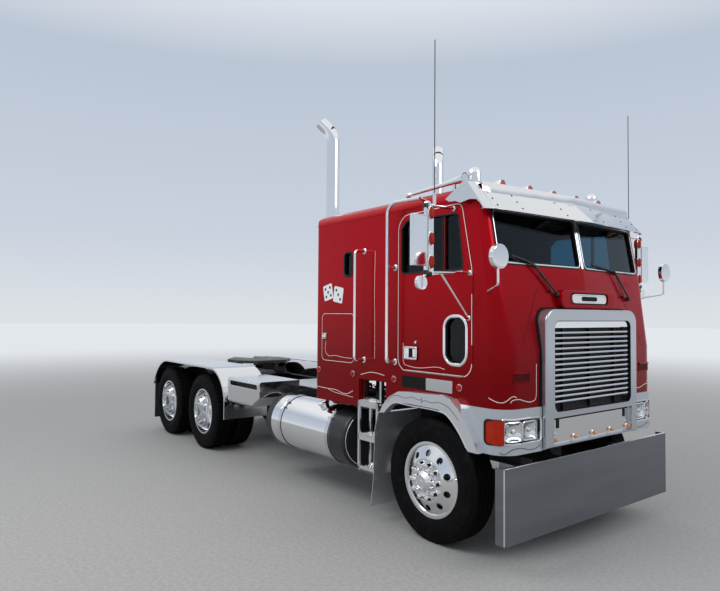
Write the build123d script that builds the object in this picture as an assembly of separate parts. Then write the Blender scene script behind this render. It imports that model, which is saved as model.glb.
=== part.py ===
"""Cab-over sleeper tractor, a six by four, with a tilting cab and a fifth wheel.

Millimetres. X runs forward, Y to the left, Z up. While the pieces are drawn, x is 0 at
the bumper's front face and falls towards the rear, as on a truck builder's drawing.
write() moves every piece forward by half the overall length, which puts the origin on
the ground at the middle of the tractor.
"""

from build123d import *
import os
from math import cos, radians, sin, tan

# Lengthwise stations, measured from the bumper's front face.
front_axle_x = -876
drive_axle_x = -5505
axle_spacing = 1334
cab_rear_x = -2665
stack_x = -2775
fifth_wheel_x = -6050

# Tyres and wheels.
tyre_radius = 530
tyre_width = 280
tread_width = 210
bead_radius = 311
flange_radius = 323
rim_width = 230
rim_wall = 11
front_rim_y = 1022
outer_rim_y = 1088
dual_spacing = 335
lug_circle_radius = 143
lug_count = 10
lug_radius = 21
lug_length = 38
hand_hole_radius = 28
hand_hole_circle = 232
hub_bore_clearance = 0.05
spindle_radius = 45
drum_radius = 205
drum_wall = 18

# Wings in front of the drive wheels.
wing_clearance = 280

# Frame rails: pressed channels with the open side inwards.
rail_top = 975
rail_height = 267
rail_flange = 85
rail_thickness = 10
rail_outer_y = 430
rail_front_x = -200
rail_overhang = 451
crossmember_height = 170
crossmember_depth = 60

# Cab.
cab_width = 2284
wall = 50
cab_bottom_z = 870
skirt_bottom_z = 1035
colour_line_z = 1220
sill_z = 2320
roof_seam_z = 2910
roof_top_z = 3018
shoulder_radius = 130
form_overhang = 0.5
roof_rear_radius = 80
roof_front_radius = 120
cab_rear_corner = 60
pillar_low_x = -372
pillar_high_x = -480
pillar_bend_z = 2324
lower_panel_rear_x = -600
floor_top_z = 1420
floor_thickness = 50
tunnel_half_width = 420
tunnel_top_z = 1780
tunnel_wall = 40
bunk_front_x = -1950
bunk_platform_z = 1985

# Tilt pivot of the cab, on the front ends of the rails.
tilt_x = -130
tilt_z = 920
tilt_pin_radius = 20
running_clearance = 0.05
ear_radius = 35
lug_eye_radius = 36

# Doors and lids.
door_gap = 5
door_lip = 20
door_rabbet = 20

# Bumper.
bumper_width = 2438
bumper_bottom_z = 232
bumper_top_z = 802
bumper_return = 97
bumper_sheet = 6

half_cab = cab_width / 2
axle_z = tyre_radius
rail_bottom = rail_top - rail_height
rear_axle_x = drive_axle_x - axle_spacing
rail_rear_x = rear_axle_x - rail_overhang
wing_front_x = drive_axle_x + tyre_radius + wing_clearance
inner_rim_y = outer_rim_y - dual_spacing
bolt_plane_y = (outer_rim_y + inner_rim_y) / 2
floor_bottom_z = floor_top_z - floor_thickness
tandem_x = (drive_axle_x + rear_axle_x) / 2


def write(name, *solids):
    """Moves the solids of one piece into the tractor's frame and writes them."""
    moved = [Pos(overall_length / 2, 0, 0) * s for shape in solids for s in shape.solids()]
    export_step(moved[0] if len(moved) == 1 else Compound(children=moved), f"parts/{name}.step")


def block(x, y, z):
    """A box between two values on each axis."""
    size = [abs(pair[1] - pair[0]) for pair in (x, y, z)]
    middle = [(pair[0] + pair[1]) / 2 for pair in (x, y, z)]
    return Pos(*middle) * Box(*size)


def other_side(shape):
    """The same shape on the other side of the tractor."""
    return mirror(shape, about=Plane.XZ)


def side_face(points, rounds=()):
    """A face drawn in side view, x against z, with chosen corners rounded."""
    face = Plane.XZ * make_face(Polyline(*points, close=True))
    return rounded(face, [((x, 0, z), r) for (x, z), r in rounds])


def front_face(points, rounds=()):
    """A face drawn in front view, y against z, with chosen corners rounded."""
    face = Plane.YZ * make_face(Polyline(*points, close=True))
    return rounded(face, [((0, y, z), r) for (y, z), r in rounds])


def rounded(face, corners):
    """Rounds the corners of a face that lie at the given points."""
    for point, radius in corners:
        near = sorted(face.vertices(), key=lambda v: (Vector(*v) - Vector(*point)).length)[0]
        face = fillet(near, radius)
    return face


def across(face, y0, y1):
    """A side-view face made solid between two values of y."""
    return extrude(Pos(0, y0, 0) * face, amount=y1 - y0, dir=(0, 1, 0))


def along(face, x0, x1):
    """A front-view face made solid between two values of x."""
    return extrude(Pos(x0, 0, 0) * face, amount=x1 - x0, dir=(1, 0, 0))


def rod(start, end, radius):
    """A round bar from one point to another."""
    path = Vector(*end) - Vector(*start)
    plane = Plane(origin=start, z_dir=path)
    return extrude(plane * Circle(radius), amount=path.length)


def pipe(points, bend, radius, bore=0):
    """A round tube along straight runs joined by bends of one radius."""
    path = FilletPolyline(*points, radius=bend)
    ring = Circle(radius) - Circle(bore) if bore else Circle(radius)
    start = Plane(origin=path @ 0, z_dir=path % 0)
    return sweep(start * ring, path=path)


def turned(profile, x, z):
    """Turns a closed outline of (radius, y) points about a wheel's axis."""
    face = make_face(Polyline(*profile, close=True))
    return Pos(x, 0, z) * revolve(face, Axis.Y)


# Tyres and wheels
half_rim = rim_width / 2
seat = half_rim - 10


def tyre(y, x):
    """One tyre, bead to bead, at the middle plane y."""
    half, crown = tyre_width / 2, tread_width / 2
    bulge = bead_radius + 0.45 * (tyre_radius - bead_radius)
    outline = [
        (bead_radius, -seat), (bead_radius, seat), (flange_radius + 2, seat), (bulge, half),
        (tyre_radius, crown), (tyre_radius, -crown), (bulge, -half), (flange_radius + 2, -seat),
    ]
    return turned([(r, y + a) for r, a in outline], x, axle_z)


def barrel(y, x):
    """The rim's tube with its two flanges."""
    inner = bead_radius - rim_wall
    outline = [
        (inner, -half_rim), (flange_radius, -half_rim), (flange_radius, -seat),
        (bead_radius, -seat), (bead_radius, seat), (flange_radius, seat),
        (flange_radius, half_rim), (inner, half_rim),
    ]
    return turned([(r, y + a) for r, a in outline], x, axle_z)


def ring(shape, x, y, radius, start):
    """Copies of a shape round a wheel's axis, one for each lug."""
    copies = []
    for n in range(lug_count):
        turn = radians(360 * (n + start) / lug_count)
        copies.append(Pos(x + radius * cos(turn), y, axle_z + radius * sin(turn)) * shape)
    return copies


def lugs(x, y, length):
    """Hexagon nuts with covers, standing outwards from the wheel's face."""
    nut = extrude(Plane.XZ * RegularPolygon(lug_radius, 6), amount=-length)
    return ring(nut, x, y, lug_circle_radius, 0)


def hand_holes(x, y0, y1):
    """Cutters for the ring of holes round the disc, each between two lugs."""
    hole = extrude(Plane.XZ * Circle(hand_hole_radius), amount=-(y1 - y0))
    return ring(hole, x, y0, hand_hole_circle, 0.5)


disc_thickness = 14
front_face_y = front_rim_y + half_rim + 45
front_hub_cap_y = front_face_y + 62
drum_in_y = front_rim_y - 104
bore_end_y = front_face_y - 20


def front_wheel():
    """Left front wheel: convex disc, hub cap, lugs, and the drum behind the disc."""
    x, barrel_bore = front_axle_x, bead_radius - rim_wall
    bore = spindle_radius + hub_bore_clearance
    disc = turned(
        [
            (bore, drum_in_y + 20), (bore, bore_end_y), (0, bore_end_y), (0, front_hub_cap_y),
            (60, front_hub_cap_y), (88, front_hub_cap_y - 25), (92, front_face_y),
            (185, front_face_y), (barrel_bore + 4, front_rim_y + half_rim - 16),
            (barrel_bore + 4, front_rim_y + half_rim - 16 - disc_thickness),
            (185, front_face_y - disc_thickness), (120, front_face_y - disc_thickness),
            (120, front_face_y - 40), (drum_radius, front_face_y - 60), (drum_radius, drum_in_y),
            (drum_radius - drum_wall, drum_in_y), (drum_radius - drum_wall, front_face_y - 90),
            (80, front_face_y - 90), (80, drum_in_y + 20),
        ],
        x, axle_z,
    )
    holes = hand_holes(x, front_face_y - 58, front_face_y + 20)
    wheel = barrel(front_rim_y, x) + disc - holes
    return wheel + lugs(x, front_face_y - 2, lug_length + 2)


def drive_wheel(x):
    """Left pair of drive wheels, bolted face to face, with their hub and drum."""
    barrel_bore = bead_radius - rim_wall
    bore = spindle_radius + hub_bore_clearance
    half_pair = dual_spacing / 2 - half_rim + 18
    outer, inner = bolt_plane_y + disc_thickness, bolt_plane_y - disc_thickness
    discs = turned(
        [
            (bore, inner_rim_y - 60), (bore, outer + 130), (0, outer + 130), (0, outer + 165),
            (70, outer + 165), (95, outer + 140), (100, outer + 10), (185, outer),
            (barrel_bore + 4, bolt_plane_y + half_pair + disc_thickness),
            (barrel_bore + 4, bolt_plane_y + half_pair), (190, bolt_plane_y),
            (barrel_bore + 4, bolt_plane_y - half_pair),
            (barrel_bore + 4, bolt_plane_y - half_pair - disc_thickness), (drum_radius, inner - 8),
            (drum_radius, inner_rim_y - 80), (drum_radius - drum_wall, inner_rim_y - 80),
            (drum_radius - drum_wall, inner - 60), (90, inner - 60), (90, inner_rim_y - 60),
        ],
        x, axle_z,
    )
    holes = hand_holes(x, bolt_plane_y - 60, bolt_plane_y + 80)
    pair = barrel(outer_rim_y, x) + barrel(inner_rim_y, x) + discs - holes
    return pair + lugs(x, outer - 2, lug_length + 2)


steered = front_wheel()
steered_tyre = tyre(front_rim_y, front_axle_x)
write_queue = [
    ("wheel_front_left", steered), ("wheel_front_right", other_side(steered)),
    ("tyre_front_left", steered_tyre), ("tyre_front_right", other_side(steered_tyre)),
]
for number, x in ((1, drive_axle_x), (2, rear_axle_x)):
    pair = drive_wheel(x)
    tyres = [tyre(outer_rim_y, x), tyre(inner_rim_y, x)]
    write_queue += [
        (f"wheels_rear_{number}_left", pair), (f"wheels_rear_{number}_right", other_side(pair)),
        (f"tyres_rear_{number}_left", *tyres),
        (f"tyres_rear_{number}_right", *[other_side(t) for t in tyres]),
    ]

# Front axle: a forged beam with a dropped middle, its kingpins, and the leaf springs
kingpin_y = 840
eye_radius = 45
eye_half = 75
kingpin_radius = 20
kingpin_half = 125
beam_drop_y = 520
beam_width = 110
beam_web = 30
spring_y = 385
spring_width = 90
spring_half_length = 560
spring_leaf = 12
spring_leaves = 4


def front_axle():
    """The beam with its eyes and kingpins, and the springs that it hangs from."""
    low, high = axle_z - 180, axle_z - 70
    top = axle_z + eye_half
    beam = along(
        front_face([
            (-kingpin_y, axle_z - eye_half), (-760, axle_z - eye_half), (-beam_drop_y, low),
            (beam_drop_y, low), (760, axle_z - eye_half), (kingpin_y, axle_z - eye_half),
            (kingpin_y, axle_z + 45), (740, axle_z + 45), (beam_drop_y, high),
            (-beam_drop_y, high), (-740, axle_z + 45), (-kingpin_y, axle_z + 45),
        ]),
        front_axle_x - beam_width / 2, front_axle_x + beam_width / 2,
    )
    for sign in (1, -1):
        near = front_axle_x + sign * beam_web / 2
        far = front_axle_x + sign * beam_width
        beam -= block((near, far), (-beam_drop_y, beam_drop_y), (low + 25, high - 25))
    parts = [beam]
    for side in (1, -1):
        y = side * kingpin_y
        parts.append(rod((front_axle_x, y, axle_z - eye_half), (front_axle_x, y, top), eye_radius))
        pin_ends = (axle_z - kingpin_half, axle_z + kingpin_half)
        parts.append(rod((front_axle_x, y, pin_ends[0]), (front_axle_x, y, pin_ends[1]), kingpin_radius))
        spring_x = (side * spring_y - spring_width / 2, side * spring_y + spring_width / 2)
        for leaf in range(spring_leaves):
            half = spring_half_length * (1 - 0.2 * leaf)
            z = high + 30 - leaf * spring_leaf
            rise = 75 * (half / spring_half_length) ** 2
            arc = side_face([
                (front_axle_x - half, z + rise), (front_axle_x, z), (front_axle_x + half, z + rise),
                (front_axle_x + half, z + rise + spring_leaf), (front_axle_x, z + spring_leaf),
                (front_axle_x - half, z + rise + spring_leaf),
            ])
            parts.append(across(arc, *spring_x))
        clamp_top = high + 30 + spring_leaf + 14
        parts.append(block((front_axle_x - 70, front_axle_x + 70), spring_x, (high - 10, clamp_top)))
        for end in (1, -1):
            x = front_axle_x + end * (spring_half_length - 8)
            hanger = block((x - 20, x + 20), spring_x, (high + 30 + 70, rail_bottom))
            parts.append(hanger)
    whole = parts[0]
    for part in parts[1:]:
        whole += part
    return whole


write_queue.append(("front_axle", front_axle()))


def knuckle():
    """Left steering knuckle: two ears on the kingpin, a back plate and the spindle."""
    ear_low, ear_high = axle_z - kingpin_half + 5, axle_z + kingpin_half - 5
    ear_thickness = 38
    plate_y = kingpin_y + eye_radius + 9
    plate_back = drum_in_y - 7
    bore = kingpin_radius + running_clearance
    x = front_axle_x
    body = rod((x, plate_y, axle_z), (x, plate_back, axle_z), drum_radius - 25)
    for z0, z1 in ((ear_low, ear_low + ear_thickness), (ear_high - ear_thickness, ear_high)):
        body += block((x - 40, x + 40), (kingpin_y, plate_back), (z0, z1))
        body += rod((x, kingpin_y, z0), (x, kingpin_y, z1), 40)
    body -= rod((x, kingpin_y, ear_low - 5), (x, kingpin_y, ear_high + 5), bore)
    return body + rod((x, plate_back - 2, axle_z), (x, bore_end_y - 8, axle_z), spindle_radius)


left_knuckle = knuckle()
write_queue += [("knuckle_left", left_knuckle), ("knuckle_right", other_side(left_knuckle))]

# Drive axles, walking beam suspension and drive shafts
housing_radius = 85
bowl_radius = 215
bowl_width = 280
spindle_in_y = inner_rim_y - 130
shaft_radius = 55
beam_y = 470


def rear_axles():
    """Both housings with their bowls, the equalising beams and the shafts between them."""
    parts = []
    for x in (drive_axle_x, rear_axle_x):
        parts.append(rod((x, -spindle_in_y, axle_z), (x, spindle_in_y, axle_z), housing_radius))
        end = bolt_plane_y + disc_thickness + 122
        parts.append(rod((x, -end, axle_z), (x, end, axle_z), spindle_radius))
        bowl = rod((x - bowl_width / 2, 0, axle_z), (x + bowl_width / 2, 0, axle_z), bowl_radius)
        parts.append(chamfer(bowl.edges().filter_by(GeomType.CIRCLE), 55))
        parts.append(rod((x + bowl_width / 2 - 5, 0, axle_z + 20), (x + 300, 0, axle_z + 20), 75))
    parts.append(rod((rear_axle_x + 290, 0, axle_z + 20), (drive_axle_x - 130, 0, axle_z + 20), shaft_radius))
    for side in (1, -1):
        y = (side * beam_y - 45, side * beam_y + 45)
        beam = side_face([
            (drive_axle_x + 90, axle_z - 70), (drive_axle_x + 90, axle_z + 40),
            (tandem_x, axle_z + 10), (rear_axle_x - 90, axle_z + 40),
            (rear_axle_x - 90, axle_z - 70), (tandem_x, axle_z - 130),
        ])
        parts.append(across(beam, *y))
        saddle = side_face([
            (tandem_x - 330, rail_bottom), (tandem_x + 330, rail_bottom),
            (tandem_x + 90, axle_z - 60), (tandem_x - 90, axle_z - 60),
        ])
        parts.append(across(saddle, side * 400 - 30, side * 400 + 30))
    for side in (1, -1):
        parts.append(rod((tandem_x, side * 360, axle_z - 60), (tandem_x, side * 530, axle_z - 60), 60))
    whole = parts[0]
    for part in parts[1:]:
        whole += part
    return whole


write_queue.append(("rear_axles", rear_axles()))

# Engine with its gearbox, and the radiator
engine_front_x = -560
engine_rear_x = -1900
engine_half_width = 310
engine_bottom_z = 560
engine_top_z = 1560
gearbox_rear_x = -2700
gearbox_half_width = 200
radiator_front_x = -205
radiator_thickness = 110
radiator_half_width = 400
radiator_top_z = 1720
shaft_centre_z = axle_z + 190
engine_mount_x = (-820, -700)
gearbox_mount_x = (-2360, -2240)
mount_height = (rail_bottom + 60, rail_bottom + 190)
hose_y = 180
hose_top_z = 1400
hose_bottom_z = 1080
hose_radius = 40

engine = block(
    (engine_rear_x, engine_front_x), (-engine_half_width, engine_half_width), (engine_bottom_z, engine_top_z)
)
engine = chamfer(engine.edges().filter_by(Axis.X), 60)
gearbox = block(
    (gearbox_rear_x, engine_rear_x + 1), (-gearbox_half_width, gearbox_half_width),
    (engine_bottom_z + 20, rail_top),
)
mount_reach = rail_outer_y - rail_thickness
for side in (1, -1):
    for_engine = sorted((side * (engine_half_width - 10), side * mount_reach))
    engine += block(engine_mount_x, for_engine, mount_height)
    for_gearbox = sorted((side * (gearbox_half_width - 10), side * mount_reach))
    gearbox += block(gearbox_mount_x, for_gearbox, mount_height)
shaft_start = (gearbox_rear_x + 5, 0, shaft_centre_z)
shaft_end = (drive_axle_x + 300 + 0.3, 0, axle_z + 20)
drive_shaft = rod(shaft_start, shaft_end, shaft_radius)
drive_shaft -= block((drive_axle_x - 100, drive_axle_x + 300 + 0.3), (-150, 150), (axle_z - 200, axle_z + 250))
write_queue.append(("engine", engine + gearbox + drive_shaft))

radiator = block(
    (radiator_front_x - radiator_thickness, radiator_front_x),
    (-radiator_half_width, radiator_half_width), (rail_top, radiator_top_z),
)
hose_start = radiator_front_x - radiator_thickness + 5
for y, z in ((hose_y, hose_top_z), (-hose_y, hose_bottom_z)):
    radiator += rod((hose_start, y, z), (engine_front_x, y, z), hose_radius)
write_queue.append(("radiator", radiator))

# Frame
crossmembers = (-480, -2830, -3700, -4700, tandem_x, rail_rear_x + crossmember_depth / 2)
cab_rest_x = -2440
stack_post_top = 2350
stack_y = 845
stack_beam_z = rail_top + 40
stack_post_x = stack_x - 150


def frame_rails():
    """Two channels, the crossmembers, the tilt pins, the cab rests and the stack beam."""
    section = front_face([
        (rail_outer_y, rail_bottom), (rail_outer_y, rail_top), (rail_outer_y - rail_flange, rail_top),
        (rail_outer_y - rail_flange, rail_top - rail_thickness),
        (rail_outer_y - rail_thickness, rail_top - rail_thickness),
        (rail_outer_y - rail_thickness, rail_bottom + rail_thickness),
        (rail_outer_y - rail_flange, rail_bottom + rail_thickness),
        (rail_outer_y - rail_flange, rail_bottom),
    ])
    rail = along(section, rail_rear_x, rail_front_x)
    ear = side_face(
        [
            (rail_front_x - 60, rail_bottom + 30), (rail_front_x - 60, rail_top),
            (tilt_x, tilt_z + ear_radius), (tilt_x, tilt_z - ear_radius),
            (rail_front_x + 10, rail_bottom + 120), (rail_front_x + 60, rail_bottom + 80),
            (-bumper_sheet, rail_bottom + 80), (-bumper_sheet, rail_bottom - 60),
            (rail_front_x - 20, rail_bottom - 60),
        ],
    )
    ear = across(ear, rail_outer_y - rail_thickness, rail_outer_y)
    pin = rod((tilt_x, rail_outer_y - rail_thickness, tilt_z), (tilt_x, rail_outer_y + 85, tilt_z), tilt_pin_radius)
    boss = rod((tilt_x, rail_outer_y - rail_thickness, tilt_z), (tilt_x, rail_outer_y + 30, tilt_z), ear_radius)
    rest = block(
        (cab_rest_x - 40, cab_rest_x + 40), (rail_outer_y - 60, rail_outer_y),
        (rail_top - 5, floor_bottom_z - 0.3),
    )
    post = block(
        (stack_post_x - 30, stack_post_x + 30), (stack_y - 200, stack_y - 140),
        (stack_beam_z - 30, stack_post_top),
    )
    half = rail + ear + pin + boss + rest + post
    whole = half + other_side(half)
    inside = rail_outer_y - rail_thickness
    for x in crossmembers:
        height = (rail_bottom + 80, rail_bottom + 80 + crossmember_height)
        if x == tandem_x:
            height = (rail_bottom + 87, rail_top - rail_thickness)
        whole += block((x - crossmember_depth / 2, x + crossmember_depth / 2), (-inside, inside), height)
    beam_half = stack_y - 140
    return whole + block(
        (stack_post_x - 30, stack_post_x + 30), (-beam_half, beam_half), (rail_top - 1, stack_beam_z + 20)
    )


write_queue.append(("frame", frame_rails()))

# Exhaust stacks: a pipe from the engine to each side, a plain stack and a turned-out tip
stack_radius = 76
stack_wall = 3
stack_straight_top = 3900
stack_tip_radius = 260
stack_tip_lean = 45
stack_bottom_z = 1300
stack_tip_run = 95
pipe_radius = 60
pipe_z = 1100
pipe_y = 250
pipe_bend = 130
clamp_z = (1450, 2250)
clamp_height = 45


def exhaust():
    """Left stack with its pipe from the engine and its clamps on the post."""
    lean = radians(stack_tip_lean)
    corner_rise = stack_tip_radius * tan(lean / 2)
    corner = Vector(stack_x, stack_y, stack_straight_top + corner_rise)
    outwards = Vector(-1, 1, 0).normalized()
    tip = corner + (outwards * sin(lean) + Vector(0, 0, cos(lean))) * (corner_rise + stack_tip_run)
    stack = pipe(
        [(stack_x, stack_y, stack_bottom_z), tuple(corner), tuple(tip)],
        stack_tip_radius, stack_radius, stack_radius - stack_wall,
    )
    feed = pipe(
        [
            (engine_rear_x, pipe_y, pipe_z), (stack_x, pipe_y, pipe_z), (stack_x, stack_y, pipe_z),
            (stack_x, stack_y, stack_bottom_z + 10),
        ],
        pipe_bend, pipe_radius,
    )
    collar = rod((stack_x, stack_y, stack_bottom_z - 10), (stack_x, stack_y, stack_bottom_z + 20), stack_radius)
    whole = stack + feed + collar
    for z in clamp_z:
        height = (z, z + clamp_height)
        band = extrude(Pos(stack_x, stack_y, z) * Circle(stack_radius + 8), amount=clamp_height)
        arm = block((stack_post_x + 30, stack_x), (stack_y - 190, stack_y - 150), height)
        arm += block((stack_x - 40, stack_x), (stack_y - 190, stack_y), height)
        hole = extrude(Pos(stack_x, stack_y, z - 5) * Circle(stack_radius), amount=clamp_height + 15)
        whole += band + arm - hole
    return whole


left_stack = exhaust()
write_queue.append(("exhausts", left_stack, other_side(left_stack)))

# Fuel tanks, their steps, brackets and straps
tank_radius = 305
tank_front_x = -2030
tank_rear_x = -3620
tank_y = 915
tank_z = 668
strap_width = 50
strap_thickness = 6
strap_stations = (-2330, -3280)


def fuel_tank():
    """Left tank, with rounded ends."""
    body = rod((tank_rear_x, tank_y, tank_z), (tank_front_x, tank_y, tank_z), tank_radius)
    return fillet(body.edges().filter_by(GeomType.CIRCLE), 35)


def tank_bracket():
    """Left pair of brackets from the rail, with the straps round the tank."""
    parts = []
    for x in strap_stations:
        low, high = x - strap_width / 2, x + strap_width / 2
        ring = rod((low, tank_y, tank_z), (high, tank_y, tank_z), tank_radius + strap_thickness)
        shelf = front_face([
            (rail_outer_y, rail_bottom - 280), (rail_outer_y, rail_top - 20), (640, rail_top - 20),
            (tank_y, tank_z), (tank_y, tank_z - tank_radius - 20), (560, rail_bottom - 330),
        ])
        bracket = ring + along(shelf, low, high)
        bracket -= rod((low - 5, tank_y, tank_z), (high + 5, tank_y, tank_z), tank_radius)
        parts.append(bracket)
    return parts


left_tank = fuel_tank()
left_brackets = tank_bracket()
write_queue.append(("fuel_tanks", left_tank, other_side(left_tank)))
write_queue.append(("tank_straps", *left_brackets, *[other_side(b) for b in left_brackets]))

# Deck boxes between the tanks and the rear wings, and the walkway behind the cab
box_front_x = tank_rear_x - 160
box_rear_x = wing_front_x + 35
box_outer_y = 1215
box_inner_y = 640
box_bottom_z = 760
box_top_z = 1100
box_taper = (260, 150)
slot_height = 70
slot_depth = 90
slot_inset = 60
deck_front_x = -3010
deck_rear_x = -4720
deck_thickness = 12


def deck_box():
    """Left step box: polished sheet, with a toe slot in its outer face."""
    outline = front_face(
        [(box_inner_y, box_bottom_z), (box_outer_y, box_bottom_z), (box_outer_y, box_top_z), (box_inner_y, box_top_z)],
        [((box_outer_y, box_bottom_z), 60), ((box_outer_y, box_top_z), 30)],
    )
    side = side_face(
        [
            (box_rear_x, box_bottom_z), (box_front_x - box_taper[0], box_bottom_z),
            (box_front_x, box_bottom_z + box_taper[1]), (box_front_x, box_top_z), (box_rear_x, box_top_z),
        ],
        [((box_front_x - box_taper[0], box_bottom_z), 120)],
    )
    body = along(outline, box_rear_x, box_front_x) & across(side, box_inner_y, box_outer_y)
    low, high = box_top_z - 35 - slot_height, box_top_z - 35
    rear, front = box_rear_x + slot_inset, box_front_x - slot_inset
    corners = [(rear, low), (front, low), (front, high), (rear, high)]
    slot = side_face(corners, [(corner, slot_height / 2 - 1) for corner in corners])
    body -= across(slot, box_outer_y - slot_depth, box_outer_y + 10)
    for x in (box_rear_x + 120, box_front_x - 180):
        body += block((x, x + 60), (rail_outer_y, box_inner_y + 1), (box_bottom_z + 40, rail_top - 30))
    return body


left_box = deck_box()
write_queue.append(("deck_boxes", left_box, other_side(left_box)))
walkway = block((deck_rear_x, deck_front_x), (-rail_outer_y, rail_outer_y), (rail_top, rail_top + deck_thickness))
write_queue.append(("deck_plate", walkway))

# Rear wings over both drive wheels, and the mud flaps
wing_top_z = 1190
wing_sheet = 5
wing_front_radius = 480
wing_front_bottom = 520
wing_inner_y = 600
wing_outer_y = 1250
wing_rear_radius = wing_top_z - axle_z
wing_rear_angle = 20
flap_top_z = 770
flap_bottom_z = 190
flap_thickness = 10
flap_clearance = 51
flap_x = rear_axle_x - tyre_radius - flap_clearance


def rear_wing():
    """Left wing: one sheet bent over both wheels, on three plates from the rail."""
    a = radians(wing_rear_angle)
    straight = wing_top_z - wing_front_radius
    middle = radians(90 + (90 - wing_rear_angle) / 2)

    def edge(t):
        """The line of the sheet, drawn in by t."""
        front = wing_front_x - t
        r_front, r_rear = wing_front_radius - t, wing_rear_radius - t
        centre_x = wing_front_x - wing_front_radius
        slant = r_front * cos(radians(45))
        crest = (centre_x, straight + r_front)
        return [
            Line((front, wing_front_bottom), (front, straight)),
            ThreePointArc((front, straight), (centre_x + slant, straight + slant), crest),
            Line(crest, (rear_axle_x, axle_z + r_rear)),
            ThreePointArc(
                (rear_axle_x, axle_z + r_rear),
                (rear_axle_x + r_rear * cos(middle), axle_z + r_rear * sin(middle)),
                (rear_axle_x - r_rear * cos(a), axle_z + r_rear * sin(a)),
            ),
        ]

    outer, inner = edge(0), edge(wing_sheet)
    ends = [Line(outer[0] @ 0, inner[0] @ 0), Line(outer[-1] @ 1, inner[-1] @ 1)]
    sheet = across(Plane.XZ * make_face(outer + inner + ends), wing_inner_y, wing_outer_y)
    under = wing_top_z - wing_sheet
    plate = front_face([
        (rail_outer_y, rail_bottom + 120), (rail_outer_y, rail_top - 20), (wing_inner_y, under),
        (wing_outer_y - 40, under), (wing_outer_y - 40, under - 30), (wing_inner_y + 30, under - 40),
    ])
    whole = sheet + along(plate, tandem_x - 6, tandem_x + 6)
    reach = block(
        (wing_front_x - wing_sheet - 12, wing_front_x - wing_sheet), (rail_outer_y, wing_outer_y - 40),
        (rail_bottom + 60, rail_bottom + 130),
    )
    hanger = block((flap_x, flap_x + 12), (rail_outer_y - 60, wing_outer_y - 20), (flap_top_z, flap_top_z + 70))
    arm = block((flap_x + 6, rail_rear_x), (rail_outer_y - 60, rail_outer_y - 12), (flap_top_z, flap_top_z + 70))
    return whole + reach + hanger + arm


# The wing's rear edge is the rearmost point of the tractor.
overall_length = wing_rear_radius * cos(radians(wing_rear_angle)) - rear_axle_x
left_wing = rear_wing()
write_queue.append(("rear_wings", left_wing, other_side(left_wing)))
left_flap = block(
    (flap_x - flap_thickness, flap_x), (wing_inner_y + 20, wing_outer_y - 20), (flap_bottom_z, flap_top_z + 40)
)
write_queue.append(("mud_flaps", left_flap, other_side(left_flap)))

# Tail lamps on the flaps' hangers, inboard of each flap
tail_lamp_y = (440, 545)
tail_lamp_z = flap_top_z + 35
tail_lamp_radius = 46
tail_lamp_depth = 22
tail_lamps = [
    rod((flap_x - tail_lamp_depth, y, tail_lamp_z), (flap_x, y, tail_lamp_z), tail_lamp_radius)
    for y in tail_lamp_y
]
write_queue.append(("tail_lamps", *tail_lamps, *[other_side(lamp) for lamp in tail_lamps]))

# Fifth wheel and its base
plate_half_width = 480
plate_front = 440
plate_rear = 520
plate_top_z = 1215
plate_thickness = 45
fifth_pivot_z = 1110
fifth_pin_radius = 30
king_bore = 25.5
throat_start = 70
bracket_y = 400
bracket_thickness = 50


def fifth_wheel_base():
    """Two brackets with their pivot pins, on a cross plate over the rails."""
    base = block(
        (fifth_wheel_x - 330, fifth_wheel_x + 330), (-rail_outer_y, rail_outer_y), (rail_top, rail_top + 14)
    )
    for side in (1, -1):
        outline = side_face([
            (fifth_wheel_x - 190, rail_top + 13), (fifth_wheel_x + 190, rail_top + 13),
            (fifth_wheel_x + 45, fifth_pivot_z + 38), (fifth_wheel_x - 45, fifth_pivot_z + 38),
        ])
        near, far = side * (bracket_y - bracket_thickness / 2), side * (bracket_y + bracket_thickness / 2)
        base += across(outline, min(near, far), max(near, far))
        base += rod(
            (fifth_wheel_x, side * (bracket_y - 70), fifth_pivot_z),
            (fifth_wheel_x, side * (bracket_y + 60), fifth_pivot_z), fifth_pin_radius,
        )
    return base


def fifth_wheel():
    """The coupling plate, with its throat, the kingpin's bore and the pivot lugs."""
    w, x = plate_half_width, fifth_wheel_x
    outline = make_face(Polyline(
        (x + plate_front, -w * 0.55), (x + plate_front, w * 0.55), (x + plate_front * 0.45, w), (x - 170, w),
        (x - plate_rear, w * 0.42), (x - plate_rear, 170), (x - throat_start - 60, 27), (x - throat_start, 27),
        (x - throat_start, -27), (x - throat_start - 60, -27), (x - plate_rear, -170),
        (x - plate_rear, -w * 0.42), (x - 170, -w), (x + plate_front * 0.45, -w), close=True,
    ))
    plate = extrude(Pos(0, 0, plate_top_z - plate_thickness) * outline, amount=plate_thickness)
    plate = chamfer(plate.faces().sort_by(Axis.Z)[-1].outer_wire().edges(), 8)
    bore = fifth_pin_radius + running_clearance
    for side in (1, -1):
        for inner in (bracket_y - 66, bracket_y + 31):
            near, far = sorted((side * inner, side * (inner + 24)))
            ear = side_face([
                (x - 90, plate_top_z - plate_thickness + 1), (x + 90, plate_top_z - plate_thickness + 1),
                (x + 45, fifth_pivot_z - 45), (x - 45, fifth_pivot_z - 45),
            ])
            plate += across(ear, near, far)
    plate -= rod((x, -w, fifth_pivot_z), (x, w, fifth_pivot_z), bore)
    rib = block((x - 60, x + 60), (-70, 70), (plate_top_z - 110, plate_top_z - plate_thickness + 1))
    plate += rib
    return plate - rod((x, 0, plate_top_z - 130), (x, 0, plate_top_z + 5), king_bore)


write_queue.append(("fifth_wheel_base", fifth_wheel_base()))
write_queue.append(("fifth_wheel", fifth_wheel()))

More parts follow.
